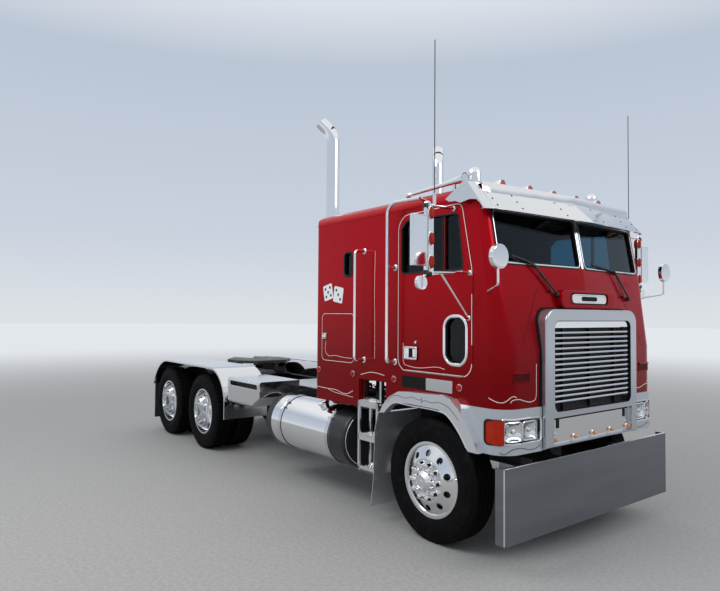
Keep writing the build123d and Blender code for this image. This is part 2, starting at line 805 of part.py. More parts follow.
# Bumper: a deep polished sheet with bent ends and a narrow lip top and bottom
lip = 22
half_bumper = bumper_width / 2
bumper = block((-bumper_sheet, 0), (-half_bumper, half_bumper), (bumper_bottom_z, bumper_top_z))
for side in (1, -1):
    ends = sorted((side * half_bumper, side * (half_bumper - bumper_sheet)))
    bumper += block((-bumper_return, -1), ends, (bumper_bottom_z, bumper_top_z))
for low in (bumper_bottom_z, bumper_top_z - bumper_sheet):
    bumper += block((-lip, -1), (-half_bumper, half_bumper), (low, low + bumper_sheet))
write_queue.append(("bumper", bumper))

# Cab body: every wall is a slice between this form and the same form drawn in
cab_sections = (
    # height, x of the nose at the middle, sweep of the nose, radius of the front corners
    (800, -38, 0.035, 165),
    (1660, -38, 0.035, 165),
    (sill_z, -120, 0.068, 70),
    (roof_top_z + 40, -253, 0.068, 70),
)


def plan(nose, sweep, radius, inset):
    """The cab in plan: a shallow V nose, rounded corners, straight sides and back."""
    side, tip, back = half_cab - inset, nose - inset, cab_rear_x + inset
    corner = tip - sweep * side
    outline = make_face(Polyline(
        (back, -side), (corner, -side), (tip, 0), (corner, side), (back, side), close=True
    ))
    outline = rounded(outline, [((corner, s * side, 0), radius - inset) for s in (1, -1)])
    return rounded(outline, [((back, s * side, 0), cab_rear_corner - inset) for s in (1, -1)])


def cab_form(inset):
    """The whole form of the cab, drawn in by inset on every outer face."""
    body = loft([Pos(0, 0, z) * plan(*row, inset) for z, *row in cab_sections], ruled=True)
    side, top, back = half_cab - inset + form_overhang, roof_top_z - inset, cab_rear_x + inset
    arch = front_face(
        [(-side, 790), (side, 790), (side, top), (-side, top)],
        [((s * side, top), shoulder_radius - inset) for s in (1, -1)],
    )
    high = top + form_overhang
    crown = side_face(
        [(back, 790), (0, 790), (0, high - 250), (-250, high), (back, high)],
        [((back, high), roof_rear_radius - inset), ((-250, high), roof_front_radius)],
    )
    return body & along(arch, cab_rear_x - 10, 10) & across(crown, -half_cab - 10, half_cab + 10)


outside, inside = cab_form(0), cab_form(wall)
shell = outside - inside

# Openings in the cab's front
grille_half = 700
grille_top_z = 2000
grille_bottom_z = 885
front_hole_half = 640
front_hole_top = 1990
front_hole = along(
    front_face(
        [
            (-front_hole_half, 800), (front_hole_half, 800),
            (front_hole_half, front_hole_top), (-front_hole_half, front_hole_top),
        ],
        [((s * front_hole_half, front_hole_top), 100) for s in (1, -1)],
    ),
    -400, 100,
)
pane_in_y = 28
pane_out_y = 1050
pane_low_z = 2365
pane_high_z = 2800
pane = front_face(
    [(pane_in_y, pane_low_z), (pane_out_y, pane_low_z), (pane_out_y - 15, pane_high_z), (pane_in_y, pane_high_z)],
    [((pane_out_y, pane_low_z), 60), ((pane_out_y - 15, pane_high_z), 50)],
)
pane_cut = along(pane, -700, 100)
panes = [pane_cut, other_side(pane_cut)]

# Wheel arch in side view, as wide as the steered wheel needs
arch_radius = 650
arch_top_z = 1165
arch_rear_x = -1462
arch = side_face(
    [
        (front_axle_x + arch_radius, 400), (front_axle_x + arch_radius, arch_top_z),
        (arch_rear_x, arch_top_z), (arch_rear_x, 400),
    ],
    [((front_axle_x + arch_radius, arch_top_z), 560), ((arch_rear_x, arch_top_z), 90)],
)
arch_cut = across(arch, -1400, 1400)

step_rear_x = -1876
step_recess_z = 1310

# What lies ahead of the joint between the front panel and the sides
pillar_line = across(
    side_face([
        (pillar_low_x, 700), (pillar_low_x, pillar_bend_z), (pillar_high_x, roof_seam_z),
        (pillar_high_x, 3200), (100, 3200), (100, 700),
    ]),
    -1300, 1300,
)


pod_half = 415
pod_z = (2007, 2165)
pod_x = -58
pod_radius = 60
plate_half = 290
plate_z = (2048, 2138)
plate_depth = 6


def rounded_bar(half, height, radius, x0, x1):
    """A bar along x with a rounded rectangular section, half wide on each side of the middle."""
    corners = [(-half, height[0]), (half, height[0]), (half, height[1]), (-half, height[1])]
    return along(front_face(corners, [(corner, radius) for corner in corners]), x0, x1)


def front_panel():
    """The painted panel below and round the windscreen, with the pod over the grille."""
    body = shell & pillar_line & block((-700, 100), (-1300, 1300), (colour_line_z, roof_seam_z))
    pod = rounded_bar(pod_half, pod_z, pod_radius, pod_x - 100, pod_x)
    pod = fillet(pod.faces().sort_by(Axis.X)[-1].edges(), 14)
    pod -= rounded_bar(plate_half, plate_z, 30, pod_x - plate_depth, pod_x + 10)
    return body - front_hole - panes + (pod - inside)


headlamp_y = (712, 1098)
headlamp_z = (952, 1142)
turn_lamp_y = 1106
turn_lamp_z = (948, 1136)
turn_lamp_rear_x = -262
headlamp_cut = along(
    front_face([(y, z) for y in headlamp_y for z in (headlamp_z if y == headlamp_y[0] else headlamp_z[::-1])],
               [((headlamp_y[0], z), 40) for z in headlamp_z]),
    -400, 100,
)
turn_lamp_cut = block((turn_lamp_rear_x, 100), (turn_lamp_y, 1300), turn_lamp_z)
turn_lamp_cut &= across(
    side_face(
        [
            (turn_lamp_rear_x, turn_lamp_z[0]), (turn_lamp_rear_x, turn_lamp_z[1]),
            (100, turn_lamp_z[1]), (100, turn_lamp_z[0]),
        ],
        [((turn_lamp_rear_x, z), 35) for z in turn_lamp_z],
    ),
    1000, 1300,
)
panel_proud = 14
panel_gap = 8
panel_room = block((lower_panel_rear_x, 100), (-1300, 1300), (cab_bottom_z, colour_line_z))
panel_form = cab_form(-panel_proud) & panel_room
# lamp cutter, depth of its seat in the cab's form, how far the lamp stands out of that form
lamp_seats = ((headlamp_cut, 30, 10), (turn_lamp_cut, 20, 22))


def lower_panel():
    """The silver skirt under the colour line, proud of the cab, with the lamps' seats."""
    skin_half = grille_half + panel_gap
    skin = panel_form - outside - block((-300, 100), (-skin_half, skin_half), (700, colour_line_z + 10))
    body = (shell & panel_room) - front_hole + skin - arch_cut
    for cut, depth, _ in lamp_seats:
        seat_cut = cut - cab_form(depth)
        body = body - seat_cut - other_side(seat_cut)
    return body


door_hinge_x = -393
locker_hinge_x = -1960
hinge_radius = 9
hinge_pin_radius = 5
hinge_length = 50
hinge_gap = 0.3
hinge_room = 1
door_outline = (
    # x, z, corner radius
    (-1300, 1433, 120),
    (door_hinge_x, 1433, 120),
    (door_hinge_x, 2324, 60),
    (-505, 2876, 70),
    (-1300, 2858, 150),
)
window_outline = (
    (-1255, 2315, 40),
    (-490, 2315, 40),
    (-545, 2795, 50),
    (-1180, 2805, 80),
    (-1255, 2730, 0),
)
divider_x = (-735, -709)
divider_z = (2305, 2815)
peep_outline = (
    (-700, 1540, 95),
    (-460, 1540, 95),
    (-460, 1930, 95),
    (-700, 1930, 95),
)
locker_outline = (
    (-2540, 1450, 60),
    (locker_hinge_x, 1450, 60),
    (locker_hinge_x, 1960, 60),
    (-2540, 1960, 60),
)
sleeper_window = (
    (-2140, 2335, 50),
    (-2000, 2335, 50),
    (-2000, 2580, 50),
    (-2140, 2580, 50),
)


def outline_face(table, spread=0):
    """A rounded side-view outline from a table, grown by spread."""
    face = side_face([(x, z) for x, z, _ in table], [((x, z), r) for x, z, r in table if r])
    return offset(face, amount=spread) if spread else face


def lid(table, holes=()):
    """Left door or lid: a skin that laps over a body, which fills the opening."""
    skin = across(outline_face(table), half_cab - door_lip, half_cab)
    body = across(outline_face(table, -door_rabbet - door_gap), half_cab - wall, half_cab - door_lip + 1)
    whole = skin + body
    for hole in holes:
        whole -= across(outline_face(hole), half_cab - 200, half_cab + 50)
    return whole


def doorway(table):
    """Cutter for the opening that a door or lid closes."""
    lap = across(outline_face(table, door_gap), half_cab - door_lip - door_gap, half_cab + 50)
    return lap + across(outline_face(table, -door_rabbet), half_cab - 200, half_cab)


def pane_in(table):
    """Glass in the left wall, as large as its opening."""
    return across(outline_face(table), half_cab - 32, half_cab - 26)


def hinge(x, z):
    """Left hinge on the skin: the wall's knuckle, the door's pair with the pin, and their rooms."""
    half = hinge_length / 2

    def length_of(low, high, radius):
        return rod((x, half_cab, z + low), (x, half_cab, z + high), radius)

    wall_part = length_of(-half, half, hinge_radius)
    wall_part -= length_of(-half - 1, half + 1, hinge_pin_radius + running_clearance)
    door_part = length_of(-3 * half, -half - hinge_gap, hinge_radius)
    door_part += length_of(half + hinge_gap, 3 * half, hinge_radius)
    door_part += length_of(-2 * half, 2 * half, hinge_pin_radius)
    room_in_door = length_of(-half - hinge_gap, half + hinge_gap, hinge_radius + hinge_room)
    room_in_wall = length_of(-3 * half - hinge_gap, -half, hinge_radius + hinge_room)
    room_in_wall += length_of(half, 3 * half + hinge_gap, hinge_radius + hinge_room)
    return wall_part, door_part, room_in_wall, room_in_door


door_hinges = [hinge(door_hinge_x, z) for z in (1630, 2190)]
locker_hinges = [hinge(locker_hinge_x, z) for z in (1560, 1850)]


def side_panel():
    """Left side of the cab, from the front pillar to the rear corner."""
    body = shell & block((-2600, 0), (1000, 1300), (skirt_bottom_z, roof_seam_z))
    body -= pillar_line
    body -= block((lower_panel_rear_x, 0), (900, 1300), (700, colour_line_z))
    body -= arch_cut
    body -= block((step_rear_x, arch_rear_x), (1000, 1300), (700, step_recess_z))
    body = body - doorway(door_outline) - doorway(locker_outline)
    for wall_part, _, room_in_wall, _ in door_hinges + locker_hinges:
        body = body - room_in_wall + wall_part
    return body - across(outline_face(sleeper_window), half_cab - 200, half_cab + 50)


left_side = side_panel()
write_queue += [
    ("cab_front", front_panel()),
    ("cab_lower_front", lower_panel()),
    ("cab_side_left", left_side),
    ("cab_side_right", other_side(left_side)),
]
back = shell & block((-2700, -2600), (-1300, 1300), (skirt_bottom_z, roof_seam_z))
back -= block((-2700, -2500), (-tunnel_half_width, tunnel_half_width), (700, tunnel_top_z))
write_queue.append(("cab_back", back))
roof = shell & block((-2700, 100), (-1300, 1300), (roof_seam_z, roof_top_z + 50))
write_queue.append(("cab_roof", roof))

left_door = lid(door_outline, (window_outline, peep_outline))
left_door += block(divider_x, (half_cab - 25, half_cab - 12), divider_z)
handle_x = (-1200, -1030)
handle_z = (1546, 1662)
handle = block(handle_x, (half_cab - 1, half_cab + 12), handle_z)
handle -= block(
    (handle_x[0] + 20, handle_x[1] - 20), (half_cab, half_cab + 13), (handle_z[0] + 25, handle_z[1] - 20)
)
left_door += handle
for _, door_part, _, room_in_door in door_hinges:
    left_door = left_door - room_in_door + door_part
left_glass = [pane_in(window_outline), pane_in(peep_outline)]
write_queue += [
    ("door_left", left_door),
    ("door_right", other_side(left_door)),
    ("door_glass_left", *left_glass),
    ("door_glass_right", *[other_side(g) for g in left_glass]),
]
left_lid = lid(locker_outline)
left_lid += block((-2510, -2450), (half_cab - 1, half_cab + 8), (1690, 1740))
for _, lid_part, _, room_in_lid in locker_hinges:
    left_lid = left_lid - room_in_lid + lid_part
write_queue += [("locker_door_left", left_lid), ("locker_door_right", other_side(left_lid))]

slice_of_glass = cab_form(18) - cab_form(24)
windscreens = [slice_of_glass & cut for cut in panes]
sleeper_pane = pane_in(sleeper_window)
write_queue.append(("cab_glass", *windscreens, sleeper_pane, other_side(sleeper_pane)))

# Cab floor with the engine tunnel, the bunk's box and the legs down to the tilt pins
leg_y = rail_outer_y + 40
leg_thickness = 30


def cab_floor():
    """Floor plates, the tunnel over the engine, the bunk platform and the pivot legs."""
    room = inside & block((cab_rear_x, 0), (-1300, 1300), (floor_bottom_z, tunnel_top_z + 400))
    floor = room & block((cab_rear_x, 0), (-1300, 1300), (floor_bottom_z, floor_top_z))
    outer_tunnel = block(
        (cab_rear_x, 0), (-tunnel_half_width - tunnel_wall, tunnel_half_width + tunnel_wall),
        (floor_bottom_z, tunnel_top_z + tunnel_wall),
    )
    hollow = block((cab_rear_x - 10, 10), (-tunnel_half_width, tunnel_half_width), (700, tunnel_top_z))
    platform = block(
        (cab_rear_x, bunk_front_x), (-half_cab + wall, half_cab - wall), (bunk_platform_z, bunk_platform_z + 25)
    )
    riser = block(
        (bunk_front_x, bunk_front_x + 20), (-half_cab + wall, half_cab - wall), (floor_top_z - 1, bunk_platform_z + 25)
    )
    whole = floor + ((outer_tunnel + platform + riser) & room) - hollow
    for side in (1, -1):
        y = sorted((side * leg_y, side * (leg_y + leg_thickness)))
        leg = side_face([
            (tilt_x - 30, tilt_z), (tilt_x - 120, floor_bottom_z + 1), (tilt_x - 60, floor_bottom_z + 1),
            (tilt_x + 25, tilt_z + 60), (tilt_x + 30, tilt_z),
        ])
        whole += across(leg, *y)
        eye = rod((tilt_x, y[0], tilt_z), (tilt_x, y[1], tilt_z), lug_eye_radius)
        whole += eye
        whole -= rod((tilt_x, y[0] - 5, tilt_z), (tilt_x, y[1] + 5, tilt_z), tilt_pin_radius + running_clearance)
    return whole


write_queue.append(("cab_floor", cab_floor()))

# Grille: a polished frame that carries the bars on upright ribs, with a lower window
surround_x = -8
surround_depth = 67
surround_round = 16
sleeve_depth = 132
opening_half = 590
bar_low_z = 1240
bar_pitch = 43
bar_count = 14
bar_height = 12
bar_depth = 26
bar_x = -38
rib_y = (-400, 0, 400)
rib_thickness = 8
rib_z = (1160, 1850)


def grille():
    """Frame, polished head plate, bars, ribs and the plate behind the lower window."""
    frame = along(
        front_face(
            [
                (-grille_half, grille_bottom_z), (grille_half, grille_bottom_z),
                (grille_half, grille_top_z), (-grille_half, grille_top_z),
            ],
            [((s * grille_half, grille_top_z), 120) for s in (1, -1)],
        ),
        surround_x - sleeve_depth, surround_x,
    )
    frame = fillet(frame.faces().sort_by(Axis.X)[-1].edges(), surround_round)
    sleeve = block((surround_x - sleeve_depth, surround_x), (-front_hole_half, front_hole_half), (900, 2100))
    frame = (frame - outside) + (frame & sleeve & front_hole) - inside
    frame -= block(
        (surround_x - sleeve_depth - 5, surround_x - surround_depth), (-opening_half, opening_half), (800, 1160)
    )
    upper = along(
        front_face(
            [(-opening_half, 1165), (opening_half, 1165), (opening_half, 1905), (-opening_half, 1905)],
            [((s * opening_half, 1905), 60) for s in (1, -1)] + [((s * opening_half, 1165), 60) for s in (1, -1)],
        ),
        -200, 50,
    )
    lower = block((-200, 50), (-600, 600), (905, 1120))
    whole = frame - upper - lower
    whole += block((surround_x - surround_depth, surround_x - surround_depth + 5), (-605, 605), (900, 1125))
    whole += block((bar_x - bar_depth, bar_x - bar_depth + 6), (-opening_half - 5, opening_half + 5), (1845, 1910))
    for y in rib_y:
        thickness = (y - rib_thickness / 2, y + rib_thickness / 2)
        whole += block((bar_x - bar_depth - 20, bar_x - bar_depth + 6), thickness, rib_z)
    for n in range(bar_count):
        z = bar_low_z + n * bar_pitch
        whole += block((bar_x - bar_depth, bar_x), (-opening_half - 5, opening_half + 5), (z, z + bar_height))
    return whole


write_queue.append(("grille", grille()))

# Visor: one bent sheet in front of the roof, with wings round the cab's corners
visor_sheet = 6
visor_half = half_cab + 59
visor_low_z = 2755
visor_rise = 25
visor_bend_y = half_cab - 22


# y, x and height of the lower edge, x of the upper edge, where the sheet meets the roof
visor_stations = (
    (0, -5, visor_low_z, -300),
    (visor_bend_y, -170, visor_low_z + visor_rise, -378),
    (visor_half, -215, visor_low_z + visor_rise, -400),
)


def visor():
    """Left half as a loft over its stations, the wing, and both mirrored."""
    def strip(y, low_x, low_z, high_x):
        t = visor_sheet
        outline = make_face(Polyline(
            (low_x, low_z), (high_x, roof_top_z + t), (high_x - 60, roof_top_z + t), (high_x - 60, roof_top_z),
            (high_x - t, roof_top_z - t), (low_x - 3 * t, low_z + t), (low_x - 30, low_z + t), (low_x - 30, low_z),
            close=True,
        ))
        return Pos(0, y, 0) * (Plane.XZ * outline)

    middle, bend, end = (strip(*row) for row in visor_stations)
    half = loft([middle, bend], ruled=True) + loft([bend, end], ruled=True)
    _, low_x, low_z, high_x = visor_stations[-1]
    wing = side_face([
        (low_x, low_z), (high_x, roof_top_z), (high_x - 60, roof_top_z), (-640, 2910),
        (-600, 2884), (-530, 2881), (-475, 2858), (-370, 2874), (-300, 2862),
    ])
    half += across(wing, visor_half - visor_sheet, visor_half)
    return half + other_side(half)


write_queue.append(("visor", visor() - outside))

# Lamps in the front and on the sides
headlamps = []
turn_lamps = []
for (cut, depth, proud), lamps in zip(lamp_seats, (headlamps, turn_lamps)):
    lamp = (cab_form(-proud) - cab_form(depth)) & cut
    lamps += [lamp, other_side(lamp)]
write_queue.append(("headlamps", *headlamps))

side_lamp_x = (-2587, -1976, -1348, -532)
side_lamp_z = 1352
side_lamps = [rod((x, half_cab, side_lamp_z), (x, half_cab + 14, side_lamp_z), 24) for x in side_lamp_x]
write_queue.append(("marker_lamps", *turn_lamps, *side_lamps, *[other_side(s) for s in side_lamps]))

roof_lamp_y = (-740, -360, 0, 360, 740)
roof_lamp_x = -430
roof_lamp_radius = 34
roof_lamp_length = 170
roof_lamp_z = roof_top_z + roof_lamp_radius + 10
horn_y = 1030
horn_bell = (-575, roof_top_z + 82)
horn_length = 720
horn_dip = 40
horn_feet = (-700, -1230)
horn_outline = (
    # distance behind the bell, radius
    (0, 52), (20, 44), (70, 33), (200, 22), (660, 15), (680, 26), (720, 26),
)
dome_x = -590
dome_y = 900
dome_radius = 58
dome_height = 200


def roof_lamp(y):
    """A pointed shell that looks forward, on a foot that stands on the roof."""
    radius, length = roof_lamp_radius, roof_lamp_length
    outline = make_face(Polyline(
        (0, 0), (0, -length), (radius * 0.45, -length * 0.8), (radius * 0.85, -length * 0.4), (radius, 0),
        close=True,
    ))
    body = Pos(roof_lamp_x, y, roof_lamp_z) * (Rot(0, 0, -90) * revolve(outline, Axis.Y))
    foot_x = (roof_lamp_x - length * 0.5, roof_lamp_x - length * 0.25)
    return body + block(foot_x, (y - radius * 0.4, y + radius * 0.4), (roof_top_z, roof_lamp_z))


def horn():
    """Left air horn: a long flared tube on two feet, its back end lower than the bell."""
    outline = [(0, 0)] + [(radius, -back) for back, radius in horn_outline] + [(0, -horn_length)]
    body = Rot(0, 0, -90) * revolve(make_face(Polyline(*outline, close=True)), Axis.Y)
    dip = horn_dip / horn_length
    body = Pos(horn_bell[0], horn_y, horn_bell[1]) * (Rot(0, -57.3 * dip, 0) * body)
    for x in horn_feet:
        z = horn_bell[1] + (x - horn_bell[0]) * dip
        body += block((x - 15, x + 15), (horn_y - 8, horn_y + 8), (roof_top_z - 40, z))
    return body - outside


def dome():
    """Left spun dome on the roof."""
    wall_top = dome_height - dome_radius
    slant = dome_radius * cos(radians(45))
    outline = make_face([
        Line((0, 0), (dome_radius, 0)), Line((dome_radius, 0), (dome_radius, wall_top)),
        ThreePointArc((dome_radius, wall_top), (slant, wall_top + slant), (0, dome_height)),
        Line((0, dome_height), (0, 0)),
    ])
    return Pos(dome_x, dome_y, roof_top_z) * revolve(Plane.XZ * outline, Axis.Z)


roof_pairs = [horn(), dome()]
write_queue.append((
    "roof_fittings", *[roof_lamp(y) for y in roof_lamp_y], *roof_pairs, *[other_side(p) for p in roof_pairs]
))

# Grab bars
bar_radius = 16
front_bar_x = -1335
rear_bar_x = -1800
bar_top_z = 2967
bar_top_bend = 110
bar_end_x = -950


def grab_bars():
    """Left pair: one carried over the door's top, one beside the sleeper."""
    y = half_cab + 100
    front = pipe([(front_bar_x, half_cab, 1510), (front_bar_x, y, 1510), (front_bar_x, y, 1600)], 28, bar_radius)
    front += pipe(
        [(front_bar_x, y, 1590), (front_bar_x, y, bar_top_z), (bar_end_x, y - 45, bar_top_z)],
        bar_top_bend, bar_radius,
    )
    foot = rod((bar_end_x - 15, y - 45, bar_top_z), (bar_end_x - 15, half_cab - 60, bar_top_z - 15), 13)
    stay = foot + rod((front_bar_x, half_cab, 2380), (front_bar_x, y, 2380), 10)
    y = half_cab + 115
    rear = pipe(
        [
            (rear_bar_x, half_cab, 1500), (rear_bar_x, y, 1500), (rear_bar_x, y, 2570),
            (rear_bar_x, half_cab, 2570),
        ],
        35, bar_radius,
    )
    return [(front + stay) - outside, rear - outside]


left_bars = grab_bars()
write_queue.append(("grab_bars", *left_bars, *[other_side(b) for b in left_bars]))

# Flares round the front wheels, with the splash sheet behind each wheel
flare_outer_y = half_cab + 80
flare_sheet = 6
splash_inner_y = 640


def wheel_flare():
    """Left flare: a band round the arch, turned down to the splash sheet."""
    outer = side_face([
        (-265, 872), (-305, 950), (-389, 1077), (-474, 1190), (-563, 1258), (-700, 1279), (-1069, 1268),
        (-1200, 1258), (-1330, 1195), (-1420, 1105), (-1455, 1045), (-1400, 1045), (-1330, 1110),
        (-1230, 1158), (-1060, arch_top_z), (-696, arch_top_z - 6), (-581, 1112), (-471, 1012),
        (-396, 915), (-368, 872),
    ])
    band = across(outer, half_cab, flare_outer_y) - panel_form
    sheet = side_face([
        (-1400, 1045), (-1455, 1045), (-1500, 1035), (-1548, 860), (-1560, 575), (-1560, 440),
        (-1580, 290), (-1602, 140), (-1596, 138), (-1574, 290), (-1554, 440), (-1554, 575),
        (-1542, 860), (-1495, 1028), (-1440, 1038),
    ])
    return band + across(sheet, splash_inner_y, flare_outer_y - 15)


left_flare = wheel_flare()
write_queue.append(("wheel_flares", left_flare, other_side(left_flare)))

# Steps under the doors
rung_z = (420, 745, 1070)
rung_height = 35
step_outer_y = 1160
step_inner_y = 990
post_width = 26
ladder_front_x = -1568


def steps():
    """Left ladder, hung from the cab's floor."""
    whole = None
    for x in (step_rear_x + 2, ladder_front_x - post_width):
        post = block((x, x + post_width), (step_inner_y + 60, step_outer_y), (rung_z[0], floor_bottom_z))
        post += block((x, x + post_width), (step_inner_y, step_outer_y), (rung_z[0], rung_z[0] + 260))
        whole = post if whole is None else whole + post
    for z in rung_z:
        whole += block((step_rear_x + 2, ladder_front_x), (step_inner_y, step_outer_y), (z, z + rung_height))
    return whole - shell


left_steps = steps()
write_queue.append(("steps", left_steps, other_side(left_steps)))

# Mirrors
mirror_x = -450
mirror_feet_z = (1800, 2900)
mirror_arm_radius = 10
lower_arm = ((-425, 2288), 2270)
upper_arm = ((-600, 2832), 2790)
lamp_bar_y = (half_cab + 395, half_cab + 451)
lamp_bar_z = (2253, 2778)
lamp_bar_half = 15
loop_y = half_cab + 470
loop_radius = 12
loop_top_z = 2812
head_y = (half_cab + 474, half_cab + 614)
head_z = (2317, 2710)
brace_foot = (-434, 1922)
brace_y = half_cab + 300
round_mirror = (half_cab + 512, 2190, 54)
whip_y = half_cab + 328
whip_top_z = 4130
whip_radius = 4


def door_mirror():
    """Left mirror: a tall head in its loop, the lamp bar, arms and the whip aerial."""
    x, middle = mirror_x, sum(lamp_bar_y) / 2
    whole = block((x - 16, x + 20), head_y, head_z)
    whole += block((x - lamp_bar_half, x + lamp_bar_half), lamp_bar_y, lamp_bar_z)
    whole += pipe(
        [
            (x, loop_y, lower_arm[1] - 25), (x, loop_y, loop_top_z), (x, middle, loop_top_z),
            (x, middle, lamp_bar_z[1] - 12),
        ],
        18, loop_radius,
    )
    for (foot_x, foot_z), end_z in (lower_arm, upper_arm):
        whole += rod((foot_x, half_cab - 5, foot_z), (x, loop_y, end_z), mirror_arm_radius)
    whole += rod((brace_foot[0], half_cab - 5, brace_foot[1]), (x, brace_y, lower_arm[1]), 9)
    y, z, radius = round_mirror
    whole += rod((x - 12, y, z), (x + 12, y, z), radius) + rod((x, loop_y, lower_arm[1]), (x, y - 15, z), 9)
    share = (whip_y - half_cab) / (loop_y - half_cab)
    (foot_x, foot_z), end_z = upper_arm
    whip_x, whip_z = foot_x + (x - foot_x) * share, foot_z + (end_z - foot_z) * share
    whole += rod((whip_x, whip_y, whip_z), (whip_x, whip_y, whip_top_z), whip_radius)
    whole += rod((whip_x, whip_y, whip_z - 8), (whip_x, whip_y, whip_z + 85), 14)
    return whole - block((x - 200, x + 60), (half_cab - 60, half_cab), mirror_feet_z)


left_mirror = door_mirror()
write_queue += [("door_mirror_left", left_mirror), ("door_mirror_right", other_side(left_mirror))]


corner_mirror_place = (-20, half_cab + 127, 2384)
corner_mirror_radius = 92


def corner_mirror():
    """Left round mirror on its bent arm, on the cab's front corner."""
    x, y, z = corner_mirror_place
    foot = (-210, half_cab + 32, 2132)
    arm = pipe([(-235, half_cab - 60, 2132), foot, (x - 8, y, 2172), (x - 8, y, z)], 26, 9)
    disc = rod((x - 16, y, z), (x + 16, y, z), corner_mirror_radius)
    return (arm + disc) - outside


left_corner_mirror = corner_mirror()
write_queue.append(("corner_mirrors", left_corner_mirror, other_side(left_corner_mirror)))

# Inside the cab
dash_rear_x = -620
wheel_centre = (-800, 600, 2120)
wheel_tilt = 30
wheel_radius = 230
rim_radius = 15
seat_inner_y = 475
seat_outer_y = 900
seat_x = -1180
seat_base_top = 1720


def dashboard():
    """The fascia across the cab, with the steering column and wheel."""
    outline = side_face([
        (-60, 1860), (-60, 2290), (-420, 2290), (-560, 2200), (dash_rear_x, 2060), (dash_rear_x + 60, 1860)
    ])
    body = across(outline, -half_cab + wall + 25, half_cab - wall - 25) & inside
    tilt = Plane(origin=wheel_centre, x_dir=(cos(radians(wheel_tilt)), 0, -sin(radians(wheel_tilt))),
                 z_dir=(-sin(radians(wheel_tilt)), 0, -cos(radians(wheel_tilt))))
    ring = tilt * Torus(wheel_radius, rim_radius)
    hub = tilt * Cylinder(45, 40)
    body = body + rod(wheel_centre, (-480, 600, 1900), 32) + ring + hub
    for turn in (0, 120, 240):
        spoke = tilt * (Rot(0, 0, turn) * (Pos(wheel_radius / 2, 0, 0) * Box(wheel_radius, 30, 10)))
        body += spoke
    return body


write_queue.append(("dashboard", dashboard()))
seat_pieces, seat_bases = [], []
seat_gap = 0.3
base = block((seat_x - 200, seat_x + 180), (seat_inner_y + 40, seat_outer_y - 40), (floor_top_z, seat_base_top))
cushion = block((seat_x - 250, seat_x + 260), (seat_inner_y, seat_outer_y), (seat_base_top + seat_gap, 1860))
rest = block((seat_x - 370, seat_x - 250 - seat_gap), (seat_inner_y, seat_outer_y), (1760, 2600))
for soft in (cushion, rest):
    soft = fillet(soft.edges(), 30)
    seat_pieces += [soft, other_side(soft)]
seat_bases += [base, other_side(base)]
write_queue.append(("seat_bases", *seat_bases))
write_queue.append(("seats", *seat_pieces))
mattress = block(
    (cab_rear_x + wall + 10, bunk_front_x - 5), (-half_cab + wall + 10, half_cab - wall - 10),
    (bunk_platform_z + 25.3, 2150),
)
write_queue.append(("bunk", fillet(mattress.edges(), 30)))

os.makedirs("parts", exist_ok=True)
for name, *solids in write_queue:
    write(name, *solids)
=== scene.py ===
"""The looks of a cab-over sleeper tractor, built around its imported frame.

Metres. X runs forward, Y to the left, Z up, with the origin on the ground at the middle.
The sections follow the tractor as it is put together, from the frame rails to the cab's trim.
"""

import math

import bmesh
import bpy
from mathutils import Matrix, Vector


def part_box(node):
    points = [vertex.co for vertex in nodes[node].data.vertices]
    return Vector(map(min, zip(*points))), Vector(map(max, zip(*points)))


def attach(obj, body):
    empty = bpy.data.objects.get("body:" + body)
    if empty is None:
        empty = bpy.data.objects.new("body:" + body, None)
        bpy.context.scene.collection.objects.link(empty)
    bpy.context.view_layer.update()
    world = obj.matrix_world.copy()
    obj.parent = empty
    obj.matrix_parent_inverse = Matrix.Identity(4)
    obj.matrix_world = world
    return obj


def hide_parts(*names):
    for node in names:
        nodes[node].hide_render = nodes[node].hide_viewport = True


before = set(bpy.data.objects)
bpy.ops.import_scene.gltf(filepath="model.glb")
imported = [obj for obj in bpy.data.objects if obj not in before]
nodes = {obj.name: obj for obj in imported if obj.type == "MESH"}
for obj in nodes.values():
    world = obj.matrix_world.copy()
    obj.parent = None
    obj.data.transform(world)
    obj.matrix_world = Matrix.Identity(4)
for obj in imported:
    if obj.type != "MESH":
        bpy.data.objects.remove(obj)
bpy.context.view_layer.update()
bumper_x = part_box("bumper")[1].x


# Camera and studio
# The camera stands where the photographer stood, ahead of the right front corner at eye height.
# The studio is a pale floor that fades into a pale sky, with two broad soft lamps above it.
def at(x, y, z):
    """A point measured from the bumper's face, moved into the tractor's frame."""
    return Vector((bumper_x + x, y, z))


photo_width, photo_height = 720, 591
focal_pixels = 608.52
camera_place = at(2.9196, -4.8479, 1.9377)
camera_yaw, camera_pitch, camera_roll = 142.266, 1.859, 0.413

camera_data = bpy.data.cameras.new("camera")
camera_data.sensor_width = 36
camera_data.lens = focal_pixels / photo_width * camera_data.sensor_width
camera_data.clip_end = 300
camera = bpy.data.objects.new("camera", camera_data)
bpy.context.scene.collection.objects.link(camera)
yaw, pitch, roll = (math.radians(a) for a in (camera_yaw, camera_pitch, camera_roll))
forward = Vector((math.cos(pitch) * math.cos(yaw), math.cos(pitch) * math.sin(yaw), math.sin(pitch)))
level_right = Vector((math.sin(yaw), -math.cos(yaw), 0))
level_up = level_right.cross(forward)
right = level_right * math.cos(roll) + level_up * math.sin(roll)
up = level_up * math.cos(roll) - level_right * math.sin(roll)
turned = Matrix((right, up, -forward)).transposed().to_4x4()
camera.matrix_world = Matrix.Translation(camera_place) @ turned
bpy.context.scene.camera = camera
bpy.context.scene.view_settings.view_transform = "Standard"


